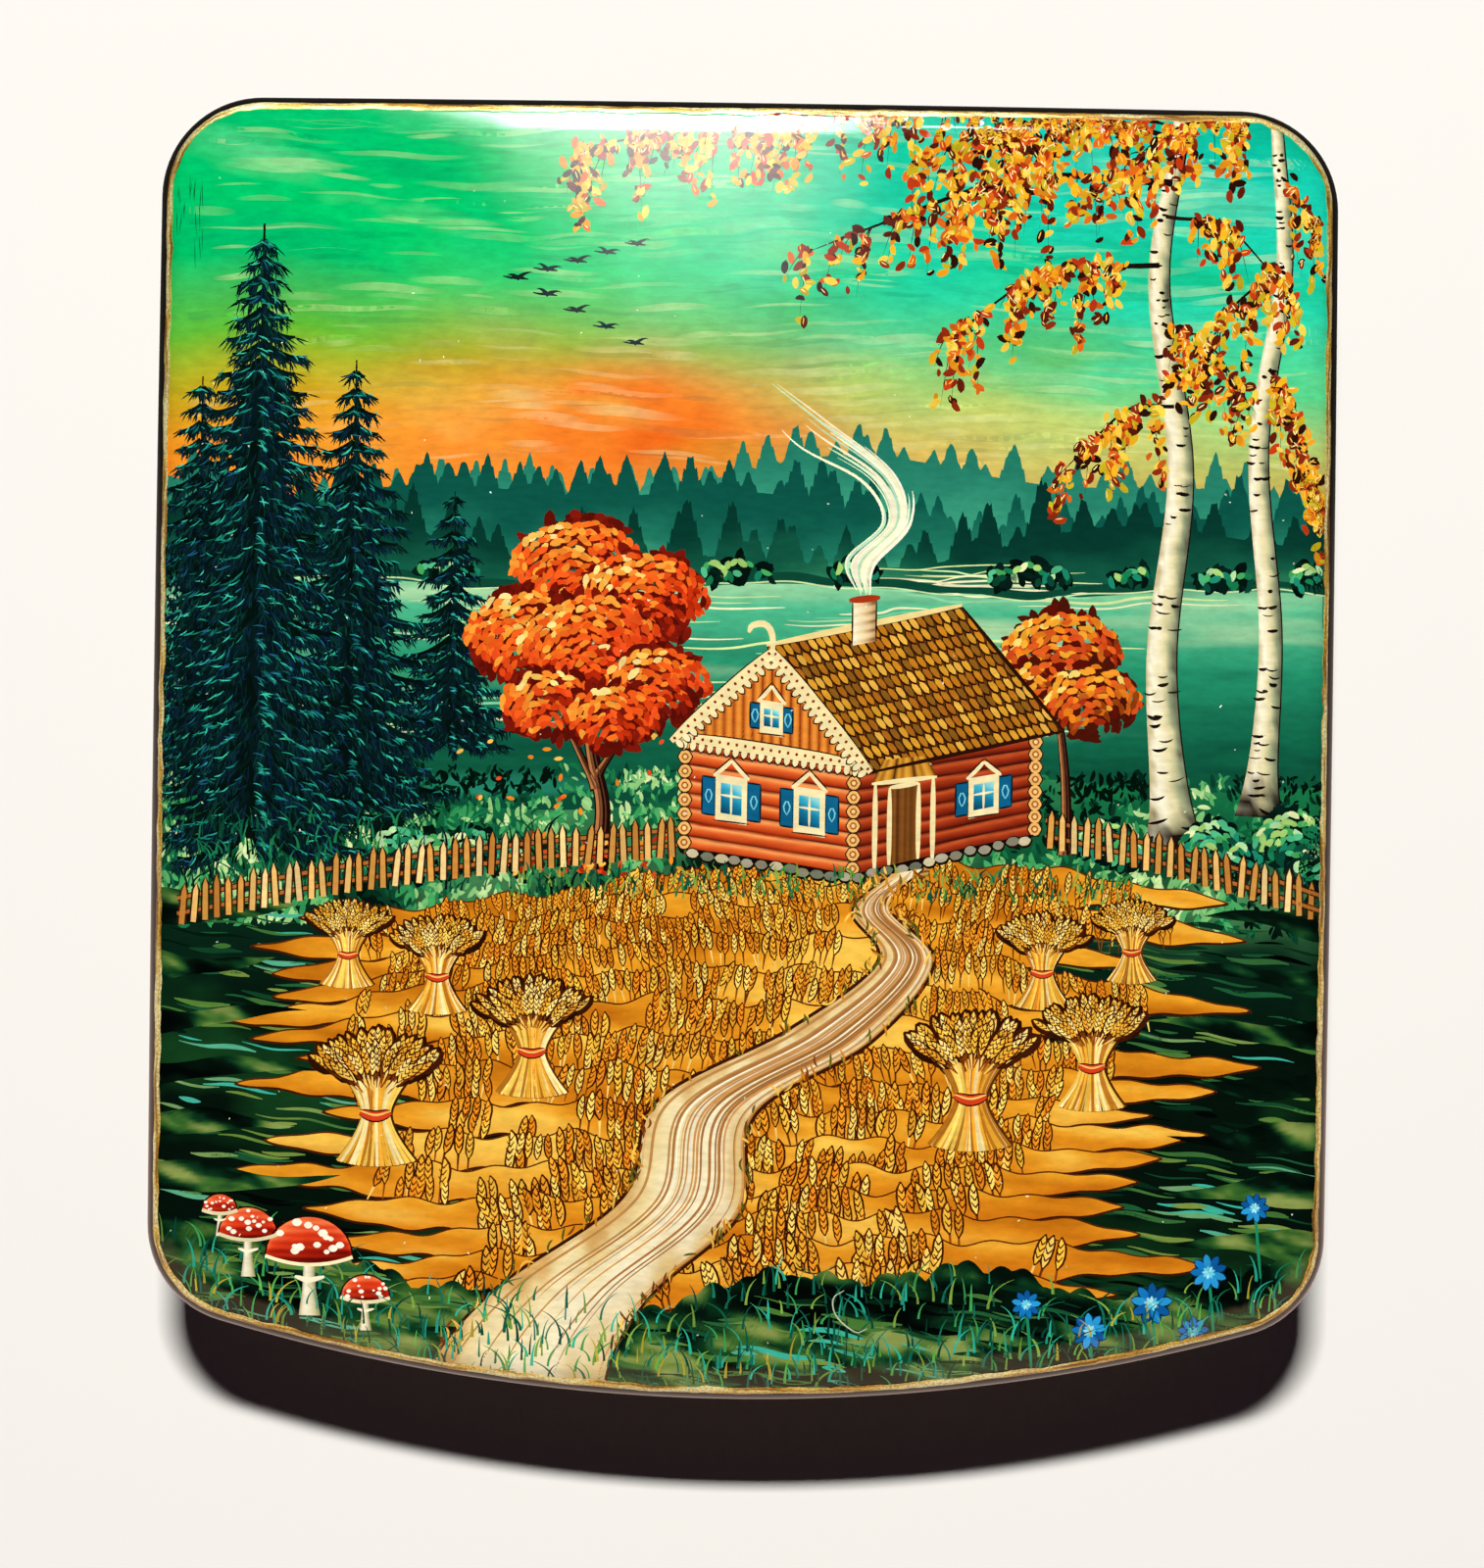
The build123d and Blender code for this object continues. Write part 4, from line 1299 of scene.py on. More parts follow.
def window(place, u, v, half_wide, high, lift):
    """Framed window on a wall with a pediment, panes in blue, and a shutter on each side
    with a lozenge in its middle."""
    low, top = v, v + high
    frame_half, pane_half = 1.12 * half_wide, 0.74 * half_wide
    sheets = []
    for side in (-1, 1):
        inner, outer = u + side * half_wide * 1.12, u + side * (half_wide * 1.12 + 0.95 * half_wide)
        quad = wall_quad(place, *sorted((inner, outer)), low, top)
        sheets.append(patch(quad, 6, 5, lift, plain("#0E5E86")))
        middle = place((inner + outer) / 2, (low + top) / 2)
        sheets += pen(quad_edges(quad), 0.16, "#06202C", lift + 0.002)
        sheets += pen([[middle + corner for corner in lozenge]], 0.13, "#7AD0E0", lift + 0.003)
    surround = wall_quad(place, u - frame_half, u + frame_half, low - 0.045, top + 0.035)
    sheets.append(patch(surround, 6, 6, lift + 0.003, plain(frame_cream)))
    panes = wall_quad(place, u - pane_half, u + pane_half, low + 0.03, top - 0.035)
    sheets.append(patch(panes, 12, 10, lift + 0.005, lambda a, b, x, y: ramp(b + 0.4 * a, glass)))
    cross = [[(panes[0] + panes[1]) / 2, (panes[2] + panes[3]) / 2],
             [panes[0] + 0.6 * (panes[3] - panes[0]), panes[1] + 0.6 * (panes[2] - panes[1])]]
    sheets += pen(cross, 0.2, frame_cream, lift + 0.007)
    sill_left, sill_right, right, left = wall_quad(place, u - half_wide, u + half_wide, low, top)
    crest = place(u, top + 0.17)
    gables = [[left + (-0.3, 0.2), crest], [crest, right + (0.3, 0.2)]]
    sheets += pen(gables, 0.42, frame_cream, lift + 0.006)
    crest = crest + (0, 0.3)
    shadows = [[left + (-0.3, 0.45), crest], [crest, right + (0.3, 0.45)],
               [sill_left + (-0.3, -0.35), sill_right + (0.3, -0.35)]]
    sheets += pen(shadows, 0.14, outline_brown, lift + 0.008)
    return sheets


house += window(on_front, 0.265, 0.34, 0.085, 0.33, trim_lift)
house += window(on_front, 0.735, 0.34, 0.085, 0.33, trim_lift)
house += window(on_front, 0.5, 1.16, 0.062, 0.22, trim_lift + 0.002)
house += window(on_side, 0.72, 0.34, 0.075, 0.31, trim_lift - 0.008)
corner_logs = (np.arange(log_count) + 0.5) / log_count
end_rings = ((1.3, "#2A0E06"), (1.08, "#F0B868"), (0.62, "#A85A20"), (0.34, "#F6D08A"))
for place, u in ((on_front, -0.015), (on_front, 1.0), (on_side, 1.005)):
    ends = np.array([place(u, v) for v in corner_logs])
    for number, (size, colour) in enumerate(end_rings):
        lift = trim_lift + 0.002 * number
        house.append(dabs(ends, 0, size, size, pick(house_rng, (colour,), log_count, 0.06), lift))
door = wall_quad(on_side, 0.2, 0.36, 0.0, 0.72)
planks = boards(4, {0: "#1E0C06", 0.2: "#6A3A14", 0.8: "#8A5420", 1: "#1E0C06"})
house.append(patch(door, 14, 12, trim_lift, planks))
door_frame = [[door[0], door[3]], [door[3], door[2]], [door[2], door[1]]]
house += pen(door_frame, 0.42, house_cream, trim_lift + 0.004)
porch = [on_side(0.12, -0.1), on_side(0.42, -0.12), on_side(0.42, 0.02), on_side(0.12, 0.03)]
steps = boards(3, {0: "#3A1C0A", 0.2: "#A87030", 0.9: "#E0B060", 1: "#3A1C0A"}, level=True)
house.append(patch([corner + (0, -0.35) for corner in porch], 10, 12, trim_lift + 0.002, steps))
porch_roof = [on_side(0.1, 0.78), on_side(0.46, 0.75), on_side(0.4, 0.96), on_side(0.16, 0.98)]
slats = boards(9, {0: outline_brown, 0.3: "#C8801E", 1: roof_gold})
house.append(patch(porch_roof, 8, 16, trim_lift + 0.008, slats))
house += pen([[porch_roof[0], porch_roof[1]]], 0.4, house_cream, trim_lift + 0.012)
posts = [[on_side(0.12, -0.02), on_side(0.12, 0.78)], [on_side(0.44, -0.04), on_side(0.44, 0.76)]]
house += pen(posts, 0.45, house_cream, trim_lift + 0.01)
sills = [[on_front(0, 0), on_front(1, 0)], [on_side(0, 0), on_side(1, 0)]]
house += pen(sills, 0.45, "#120806", trim_lift + 0.008)
for place, count in ((on_front, 12), (on_side, 13)):
    u = (np.arange(count) + 0.5) / count
    stones = np.array([place(share, -0.035) for share in u]) + house_rng.normal(0, 0.08, (count, 2))
    length = 14.0 / count * house_rng.uniform(0.9, 1.15, count)
    tilt = -0.13 if place is on_front else 0.23
    mortar = pick(house_rng, ("#1A1008",), count)
    house.append(dabs(stones, tilt, 1.2 * length, 1.05, mortar, trim_lift + 0.009))
    stone_tones = pick(house_rng, ("#A8A08A", "#8A8470", "#C8BC98", "#6E7460"), count)
    house.append(dabs(stones + (-0.04, 0.06), tilt, 0.95 * length, 0.74, stone_tones, trim_lift + 0.0105))


def brickwork(u, v, x, y):
    """Limewashed chimney: cream at its left, brown at its right, in level courses."""
    return ramp(u + 0.15 * np.sign(np.sin(v * 30)), {0: "#FBF0CC", 0.6: "#E8C890", 1: "#8A5A38"})


chimney_foot = roof[3] * 0.5 + roof[2] * 0.5 + (0, -1.4)
chimney = [chimney_foot + corner for corner in ((-1, -0.2), (1, 0.2), (1, 3.9), (-1, 3.6))]
house.append(patch(chimney, 16, 8, chimney_lift, brickwork))
chimney_sides = [[chimney[0], chimney[3]], [chimney[1], chimney[2]]]
house += pen(chimney_sides, 0.14, dark_brown, chimney_lift + 0.004)
chimney_cap = [chimney[3] + (-0.3, 0), chimney[2] + (0.3, 0)]
house += pen([chimney_cap], 0.6, "#A83616", chimney_lift + 0.006)
paint_piece("log_house", house)


# Smoke curls up from the chimney in a bundle of fine cream lines, as flowing things are
# drawn in this kind of painting.
def flowing(knots_low, knots_high, count, points, width, palette, seed, lift, shortest=0.6):
    """Bundle of fine lines that keep their order between two guiding curves. Each starts in
    the first tenth and ends somewhere after shortest of the way."""
    rng = np.random.default_rng(seed)
    fine = np.linspace(0, 1, 4 * points)
    low, high = curve(knots_low, 4 * points), curve(knots_high, 4 * points)
    share = np.sort(rng.uniform(0, 1, count))[:, None]
    t = np.linspace(0, 1, points)
    run = rng.uniform(0, 0.1, (count, 1)) * (1 - t) + rng.uniform(shortest, 1, (count, 1)) * t
    lows, highs = ([np.interp(run, fine, line[:, axis]) for axis in (0, 1)] for line in (low, high))
    paths = np.stack([at_low * (1 - share) + at_high * share for at_low, at_high in zip(lows, highs)], -1)
    widths = width * rng.uniform(0.6, 1.3, (count, 1)) * np.sin(np.pi * np.clip(t, 0.02, 0.995)) ** 0.5
    return strokes(paths, widths, pick(rng, palette, count), lift)


top = chimney_foot + (0, 4.0)
left_bends = ((-0.5, 0), (-1.6, 3), (1.4, 6.2), (-0.4, 9.6), (-6.0, 12.6), (-9.4, 16.6))
right_bends = ((0.5, 0), (0.9, 2.6), (3.9, 6.2), (3.4, 10.6), (-2.0, 15.6), (-7.4, 18.8))
smoke_lift = 0.062
smoke_tones = ("#F4EEC8", "#D8EBC0", "#BFE8C8", "#FFF8E0")
smoke = flowing(top + left_bends, top + right_bends, 30, 60, 0.24, smoke_tones, 121, smoke_lift, 0.35)
paint_piece("chimney_smoke", [smoke])


# Ripe wheat covers the slope below the house in long golden tongues that run out into dark
# ground. Ears stand along the crest of each one, brown under gold, with stalks below.
def wheat(x, y, up):
    """Gold ochre that deepens to burnt orange in streaks along the slope and towards its foot."""
    streak = cloud(x / 5 + 40, y + 0.1 * x + 70, 2.6, 131)
    colours = ramp(streak, {0.25: "#B8640C", 0.42: "#DC8A1A", 0.55: "#EFA428", 0.72: "#FBC850"})
    return blend(colours, rgb("#D87414"), 0.5 * (-y - 22) / 26 + 0.5 * (0.35 - up))


def ears(rng, heads, angles, length, palette, lift):
    """Sheets of wheat ears, each with a stalk, a brown outline, a gold body and three pairs
    of ticks for the grains."""
    length = np.broadcast_to(length, len(heads))
    up = np.column_stack([np.cos(angles), np.sin(angles)])
    across = np.column_stack([-up[:, 1], up[:, 0]])
    count, size = len(heads), length[:, None]
    bend = rng.normal(0, 0.09, count)
    stalk = np.stack([heads - share * size * up for share in (0.3, 0.75, 1.2)], 1)
    straw = pick(rng, ("#6A2E08", "#8A4410", "#F8D070"), count)
    brown, gold = pick(rng, ("#3A1204", "#4A1A06"), count), pick(rng, palette, count)
    sheets = [strokes(stalk, 0.1 * size * (1, 0.8, 0.4), straw, lift),
              dabs(heads, angles, 1.16 * length, 0.38 * length, brown, lift + 0.0012, bend),
              dabs(heads, angles, length, 0.24 * length, gold, lift + 0.0024, bend)]
    for step in (-0.3, -0.06, 0.18):
        for side in (-1, 1):
            root = heads + step * size * up
            tick = np.stack([root, root + 0.2 * size * up + side * 0.13 * size * across], 1)
            sheets.append(strokes(tick, 0.055 * size * (1, 0.6), brown * 1.6, lift + 0.0036))
    return sheets


ripe = ("#F8C040", "#F0A830", "#FFD868", "#F09A24", "#E88A1C")
field_rng = np.random.default_rng(133)
field_lift, tongue_lift_step = 0.05, 0.0072
tongues = []
tongue_count = 15
for number in range(tongue_count):
    share = number / (tongue_count - 1)
    middle = -13.4 - 32.5 * share
    left = field_rng.uniform(-47, -37) + 4 * share
    right = field_rng.uniform(35, 47) - 5 * share
    x = np.linspace(left, right, 170)
    across = 2 * (x - left) / (right - left) - 1
    taper = (1 - np.abs(across) ** 2.6) ** 0.7
    knoll = 2.2 * (1 - share) * np.exp(-((x - 4) / 20) ** 2)
    rise = 1.5 * np.sin(x / 17 + 0.5 * number) * (1 - 0.5 * share) + knoll
    ragged = 0.35 * np.sin(x / 1.9 + number) + 0.3 * np.sin(x / 0.83 + 2 * number)
    upper = np.column_stack([x, middle + rise + (1.9 + ragged) * taper])
    lower = np.column_stack([x, middle + rise - (1.8 + 0.8 * ragged) * taper])
    lift = field_lift + tongue_lift_step * number
    tongues.append(between(lower, upper, 10, lift, wheat))
    edge = pick(field_rng, ("#5A2408",), 1)
    tongues.append(strokes(lower[None], 0.2, edge * 0.5, lift + 0.0008))
    tongues.append(strokes(upper[None], 0.13, edge, lift + 0.0008))
    length = 1.5 + 0.95 * share
    for row in range(2):
        ear_x = np.arange(left + 5.5, right - 5.5, 0.4 * length)
        ear_x = ear_x + field_rng.normal(0, 0.12, len(ear_x))
        clump = cloud(ear_x + 60, np.full(len(ear_x), 40.0 + 9 * number + 3.5 * row), 5, 137)
        has_room = np.interp(ear_x, x, upper[:, 1] - lower[:, 1]) > 1.35 * length
        grown = has_room & (clump > 0.32 + 0.14 * row)
        ear_x = ear_x[grown & (np.roll(grown, 1) | np.roll(grown, -1))]
        count = len(ear_x)
        crest = np.interp(ear_x, x, upper[:, 1])
        angles = np.pi / 2 + 0.22 * np.sin(ear_x / 6 + number) + field_rng.normal(0, 0.1, count)
        head_y = crest - (0.42 + 0.62 * row) * length + field_rng.normal(0, 0.12, count)
        heads = np.column_stack([ear_x, head_y])
        ear_length = length * field_rng.uniform(0.9, 1.15, count)
        tongues += ears(field_rng, heads, angles, ear_length, ripe, lift + 0.0016)
paint_piece("wheat_field", tongues)


# A paling fence keeps the yard from the field: two rails behind pointed pales, ochre with
# brown outlines, leaning a little with age.
pale_spacing = 1.0
left_fence = [(-47.5, -15.2), (-34, -12.4), (-20, -10.4), (-5.4, -8.8)]
right_fence = [(25.6, -7.6), (34, -9.4), (43, -11.8), (49.5, -13.8)]


def paling(knots, seed, lift):
    """Fence along a line. Pales stand a millimetre apart, each a stroke that keeps its width
    up to its neck and then comes to a point, ochre over a wider brown one."""
    rng = np.random.default_rng(seed)
    line = curve(knots, 300)
    along = np.append(0, np.cumsum(np.linalg.norm(np.diff(line, axis=0), axis=1)))
    at = np.linspace(0.4, along[-1] - 0.4, int(along[-1] / pale_spacing))
    foot = np.column_stack([np.interp(at, along, line[:, 0]), np.interp(at, along, line[:, 1])])
    tall, lean = rng.uniform(2.9, 3.4, (len(at), 1)), rng.normal(0, 0.05, (len(at), 1))
    s = np.array([-0.04, 0.3, 0.84, 1.03])
    pale = foot[:, None] + np.stack([tall * lean * s, tall * s], -1)
    body = foot[:, None] + np.stack([tall * lean * s, tall * (s - 0.02)], -1)
    brown, ochre = ("#2A1006", "#3A1808"), ("#E8B868", "#D89A48", "#F2D08A", "#C88438")
    sheets = []
    for up in (0.8, 2.1):
        rail = line + (0, up)
        sheets.append(strokes(rail[None], 0.52, pick(rng, brown, 1), lift))
        sheets.append(strokes(rail[None], 0.3, pick(rng, ("#A8642A",), 1), lift + 0.0012))
    outline_widths = 0.74 * np.array([1, 1, 1, 0.1])
    body_widths = 0.46 * np.array([1, 1, 0.9, 0.04])
    sheets.append(strokes(pale, outline_widths, pick(rng, brown, len(at)), lift + 0.0024))
    sheets.append(strokes(body, body_widths, pick(rng, ochre, len(at)), lift + 0.0038))
    return sheets


fence_lift = 0.1615
fence = paling(left_fence, 135, fence_lift) + paling(right_fence, 136, fence_lift)
paint_piece("paling_fence", fence)


# A trodden path of pale sand winds down from the porch through the wheat. It is a smooth
# pale wash with fine lines drawn along it like ruts, a dark edge, and stubble beside it.
path_left = [(12.6, -10.2), (9.4, -13.4), (11.6, -17.6), (4.2, -23.4), (-6.8, -29.6),
             (-9.6, -37.8), (-20.0, -45.5), (-25.5, -52), (-27, -58)]
path_right = [(15.4, -9.7), (12.6, -13.0), (16.4, -17.6), (11.2, -24.4), (1.6, -30.6),
              (0.4, -39.0), (-7.0, -46.0), (-10.5, -52), (-11, -58)]


def sand(x, y, up):
    """Pale sand, darker towards the path's edges, in soft patches drawn out along it."""
    drift = 0.6 * (cloud(x + 60, y / 3 + 60, 2, 141) - 0.5)
    return ramp(up + drift, {0: "#D8A860", 0.25: "#F2DCA0", 0.6: "#FBF0CC", 1: "#E0C080"})


lane_lift = 0.187
lane = [between(curve(path_left, 260), curve(path_right, 260), 20, lane_lift, sand)]
rut_tones = ("#C89050", "#E0B878", "#A87038", "#FFF8DC")
lane.append(flowing(path_left, path_right, 30, 150, 0.2, rut_tones, 143, lane_lift + 0.0025))
lane += pen([path_left, path_right], 0.3, "#3A1606", lane_lift + 0.005)
lane_rng = np.random.default_rng(145)
stubble_count, rail_points, stubble_end = 120, 150, 128
for side_knots in (path_left, path_right):
    rail = curve(side_knots, rail_points)
    at = lane_rng.integers(4, stubble_end, stubble_count)
    foot = rail[at] + lane_rng.normal(0, 0.25, (stubble_count, 2))
    lean = np.pi / 2 + lane_rng.normal(0, 0.45, stubble_count)
    size = lane_rng.uniform(0.7, 1.5, stubble_count)
    tones = pick(lane_rng, ("#7A3A0C", "#C8801E", "#F2C050", "#5A5A1C"), stubble_count)
    bend = lane_rng.normal(0, 0.3, stubble_count)
    lane.append(dabs(foot + (0, 0.4), lean, size, 0.2, tones, lane_lift + 0.0075, bend))
paint_piece("sand_path", lane)


# Bound sheaves stand in the stubble: straw drawn in at the waist by a red band, with the
# ears nodding outwards over it.
straw_count = 44
grain_tones = ("#FBD060", "#FFE288", "#F0A830", "#F8C040")


def sheaf(foot, height, seed, lift):
    """Sheets of one sheaf. A straw starts at its place in the foot, crosses the waist at a
    third of that spread, and opens again to the head, where three rows of ears hang over."""
    rng = np.random.default_rng(seed)
    place = np.linspace(-1, 1, straw_count) + rng.normal(0, 0.03, straw_count)
    t = np.linspace(0, 1, 16)
    pinch = 0.32 + 0.6 * np.abs(2 * t - 1.05) ** 1.5
    x = foot[0] + 0.34 * height * place[:, None] * pinch
    bow = place[:, None] ** 2
    y = foot[1] + height * (0.86 - 0.08 * bow) * t + 0.05 * height * bow * (1 - t)
    order = lift + 0.0003 * (rng.permutation(straw_count) % 8)
    paths = np.stack([x, y], -1)
    shade = pick(rng, ("#3A1A06", "#5A2C0A"), straw_count)
    dark = strokes(paths + (0.1, -0.02), 0.05 * height, shade, lift - 0.002)
    tones = pick(rng, ("#F2C858", "#E8A830", "#FBE6A0", "#B87420"), straw_count)
    straw = strokes(paths, 0.026 * height, tones, order)
    heads_of_corn = []
    for row, count in ((0, 26), (1, 22), (2, 17)):
        spread = np.linspace(-1, 1, count) + rng.normal(0, 0.03, count)
        angles = np.pi / 2 - 0.9 * spread + rng.normal(0, 0.08, count)
        away = (0.2 - 0.075 * row) * height + rng.normal(0, 0.012 * height, count)
        root_x = foot[0] + (0.31 - 0.03 * row) * height * spread
        root = np.column_stack([root_x, foot[1] + height * (0.84 - 0.1 * spread**2)])
        ear_heads = root + away[:, None] * np.column_stack([np.cos(angles), np.sin(angles)])
        backing = pick(rng, ("#2A1004", "#3A1606"), count)
        heads_of_corn.append(dabs(ear_heads + (0.08, -0.12), angles, 0.27 * height, 0.13 * height,
                                  backing, lift + 0.0026))
        ear_lift = lift + 0.0036 + 0.0045 * row
        heads_of_corn += ears(rng, ear_heads, angles, 0.19 * height, grain_tones, ear_lift)
    waist = np.array(foot) + height * np.array([(-0.13, 0.45), (0, 0.415), (0.13, 0.45)])
    band = pen([waist], 0.1 * height, "#2A0806", lift + 0.0166)
    band += pen([waist], 0.075 * height, "#D8401C", lift + 0.018)
    band += pen([waist + (0, 0.012 * height)], 0.018 * height, "#F8C868", lift + 0.0195)
    return [dark, straw, *heads_of_corn, *band]


sheaf_plans = ((-33, -20.5, 6.6), (-25.4, -22.6, 7.4), (25.5, -21.5, 7.2), (33.0, -19.2, 6.2),
               (-17.4, -29.5, 9.0), (19.6, -33.5, 10.4), (29.8, -30.0, 8.6), (-30.5, -35.5, 10.2))
sheaf_lift, sheaf_lift_step = 0.176, 0.004
sheaves = []
for number, (x, y, height) in enumerate(sheaf_plans):
    sheaves += sheaf((x, y), height, 151 + number, sheaf_lift + sheaf_lift_step * number)
paint_piece("wheat_sheaves", sheaves)


# The near ground is deep green, almost black, with smears of moss, blades of grass in teal
# and gold, cornflowers, and fly agarics with white-flecked red caps.
def tufts_of_grass(rng, roots, tall, palette, lift):
    """Blades that rise from their roots and bend over: x runs by bend s^2 and y by s."""
    count = len(roots)
    s = np.linspace(0, 1, 10)
    height = tall * rng.uniform(0.45, 1.1, count)[:, None]
    bend = height * rng.normal(0, 0.42, count)[:, None]
    x = roots[:, :1] + bend * s**2
    y = roots[:, 1:] + height * (s - 0.18 * s**3)
    widths = 0.2 * (1.04 - s) ** 0.7 * rng.uniform(0.7, 1.4, (count, 1))
    return strokes(np.stack([x, y], -1), widths, pick(rng, palette, count, 0.25), lift)


slope_lift, bank_lift, grass_lift, flower_lift = 0.12, 0.178, 0.197, 0.2125
near_rng = np.random.default_rng(161)
near = []
bank_x = np.linspace(-picture_side, picture_side, 300)
bank_top = -46.2 + 1.6 * np.sin(bank_x / 8.5) + 0.8 * np.sin(bank_x / 3.1 + 1)
bank_top = bank_top + 4.6 * (np.abs(bank_x) / 49) ** 3
jag = 0.9 * np.abs(np.sin(bank_x / 1.7)) + 0.6 * np.abs(np.sin(bank_x / 0.77 + 1))
bank_low = np.column_stack([bank_x, np.full(len(bank_x), -57.0)])


def moss(x, y, up):
    """Near-black green with smeared patches of moss and olive."""
    smear = cloud(x / 2.6 + 50, y + 0.25 * x + 90, 2.2, 163)
    dark = {0.3: "#010503", 0.48: "#04150C", 0.56: "#0C3A1E"}
    colours = ramp(smear, {**dark, 0.64: "#3A6A2A", 0.75: "#8A9A50"})
    return blend(colours, rgb("#021008"), 0.7 * (up - 0.7))


near.append(between(bank_low, np.column_stack([bank_x, bank_top + jag]), 46, bank_lift, moss))
# Dark tongues reach in from both sides of the field, where the wheat runs out.
dark_tongues, dark_tongue_step = 7, 4.6
for side in (-1, 1):
    for number in range(dark_tongues):
        y = -14 - dark_tongue_step * number
        reach = near_rng.uniform(9, 17)
        x = side * (50 - np.linspace(0, reach, 60))
        t = np.linspace(0, 1, 60)
        half = near_rng.uniform(0.9, 1.6) * (1 - t**1.4) * (1 + 0.2 * np.sin(9 * t + number))
        drift = -side * 0.04 * (x - side * 50) + 0.4 * np.sin(x / 3 + number)
        lower, upper = np.column_stack([x, y + drift - half]), np.column_stack([x, y + drift + half])
        lower, upper = lower[:: -side], upper[:: -side]
        near.append(between(lower, upper, 10, slope_lift + 0.002 * number, moss))
smear_count = 1100
t = np.linspace(0, 1, 15)
smear_x = near_rng.uniform(-50, 46, (smear_count, 1)) + near_rng.uniform(1.5, 7, (smear_count, 1)) * t
smear_y = near_rng.uniform(-56, -14, (smear_count, 1)) - 0.12 * np.abs(smear_x - smear_x[:, :1])
smear_y = smear_y + 0.15 * np.sin(smear_x)
tone = cloud(smear_x[:, 0] / 2 + 60, smear_y[:, 0] + 90, 5, 165)
tone = tone + near_rng.normal(0, 0.1, smear_count)
dark_greens = {0.3: "#010503", 0.45: "#08301C", 0.52: "#1C5A34"}
smear_colours = ramp(tone, {**dark_greens, 0.6: "#4A7A34", 0.68: "#7E9440", 0.8: "#3CB49C"})
smear_taper = np.sin(np.pi * np.clip(t, 0.03, 0.97)) ** 0.6
smear_widths = near_rng.uniform(0.14, 0.5, (smear_count, 1)) * smear_taper
on_bank = smear_y.min(1) < np.interp(smear_x[:, 0], bank_x, bank_top) - 0.6
smear_paths = np.stack([smear_x, smear_y], -1)
for keep, lift in ((on_bank, bank_lift + 0.005), (~on_bank, field_lift - 0.0025)):
    near.append(strokes(smear_paths[keep], smear_widths[keep], smear_colours[keep], lift))
count = 620
grass_x = near_rng.uniform(-49, 49, count)
grass_y = np.interp(grass_x, bank_x, bank_top) - near_rng.uniform(-0.3, 9, count)
order = np.argsort(-grass_y)
roots = np.column_stack([grass_x, grass_y])[order]
bank_greens = ("#0E5A40", "#16705A", "#0A4030", "#3C9A50", "#7AA040", "#2AA88C")
rising = grass_lift + 0.014 * np.arange(count) / count
near.append(tufts_of_grass(near_rng, roots, 2.8, bank_greens, rising))
roots = scatter(near_rng, 260, -20, 34, -12.6, -10.4)
yard_greens = ("#0E5A40", "#3C8A3C", "#0A3A20", "#8AA040")
near.append(tufts_of_grass(near_rng, roots, 1.5, yard_greens, fence_lift + 0.0045))
roots = scatter(near_rng, 300, -49, -14, -12.5, -6.5)
shade_greens = ("#0A3A28", "#0E5A40", "#1C7A4C", "#04180F")
near.append(tufts_of_grass(near_rng, roots, 2.2, shade_greens, slope_lift + 0.008))


petal_count = 9
# A cornflower's rings, outer first: reach, length, width and lift, and their colours.
flower_rings = ((0.55, 1.0, 0.6, 0.0, ("#06284A",)),
                (0.6, 0.85, 0.4, 0.0015, ("#1478C0", "#2A9AD8", "#0E5AA0")),
                (0.2, 0.36, 0.16, 0.003, ("#A8E8F0", "#6AD0E8")))
cornflowers = ((40, -43.5, 1.5), (35.2, -46.2, 1.7), (30.0, -48.6, 1.5), (43.8, -38.0, 1.2),
               (24.6, -46.4, 1.2), (38.8, -48.6, 1.3))


def cornflower(centre, size, rng, lift):
    """Ring of blue petals over a darker one, with pale flecks at the heart."""
    turn = np.arange(petal_count) * 2 * np.pi / petal_count + rng.uniform(0, 1)
    ray = np.column_stack([np.cos(turn), np.sin(turn)])
    return [dabs(centre + reach * size * ray, turn, length * size, width * size,
                 pick(rng, tones, petal_count), lift + above)
            for reach, length, width, above, tones in flower_rings]


for x, y, size in cornflowers:
    near += pen([[(x + 0.6, y - 6), (x + 0.3, y - 3), (x, y)]], 0.26, "#1C8A60", flower_lift)
    near += cornflower(np.array([x, y]), size, near_rng, flower_lift + 0.002)


stem_stops = {0: "#8A8A60", 0.35: "#E8DCB0", 0.8: "#FFF8E0", 1: "#B8A878"}
cap_stops = {0: "#5A0A06", 0.25: "#A81C0C", 0.6: "#E8401C", 1: "#FF8A50"}
toadstools = ((-41.2, -45.0, 3.6, 5.0), (-36.0, -48.2, 5.0, 7.4), (-31.2, -49.4, 2.8, 4.2),
              (-43.6, -41.6, 2.2, 3.0))


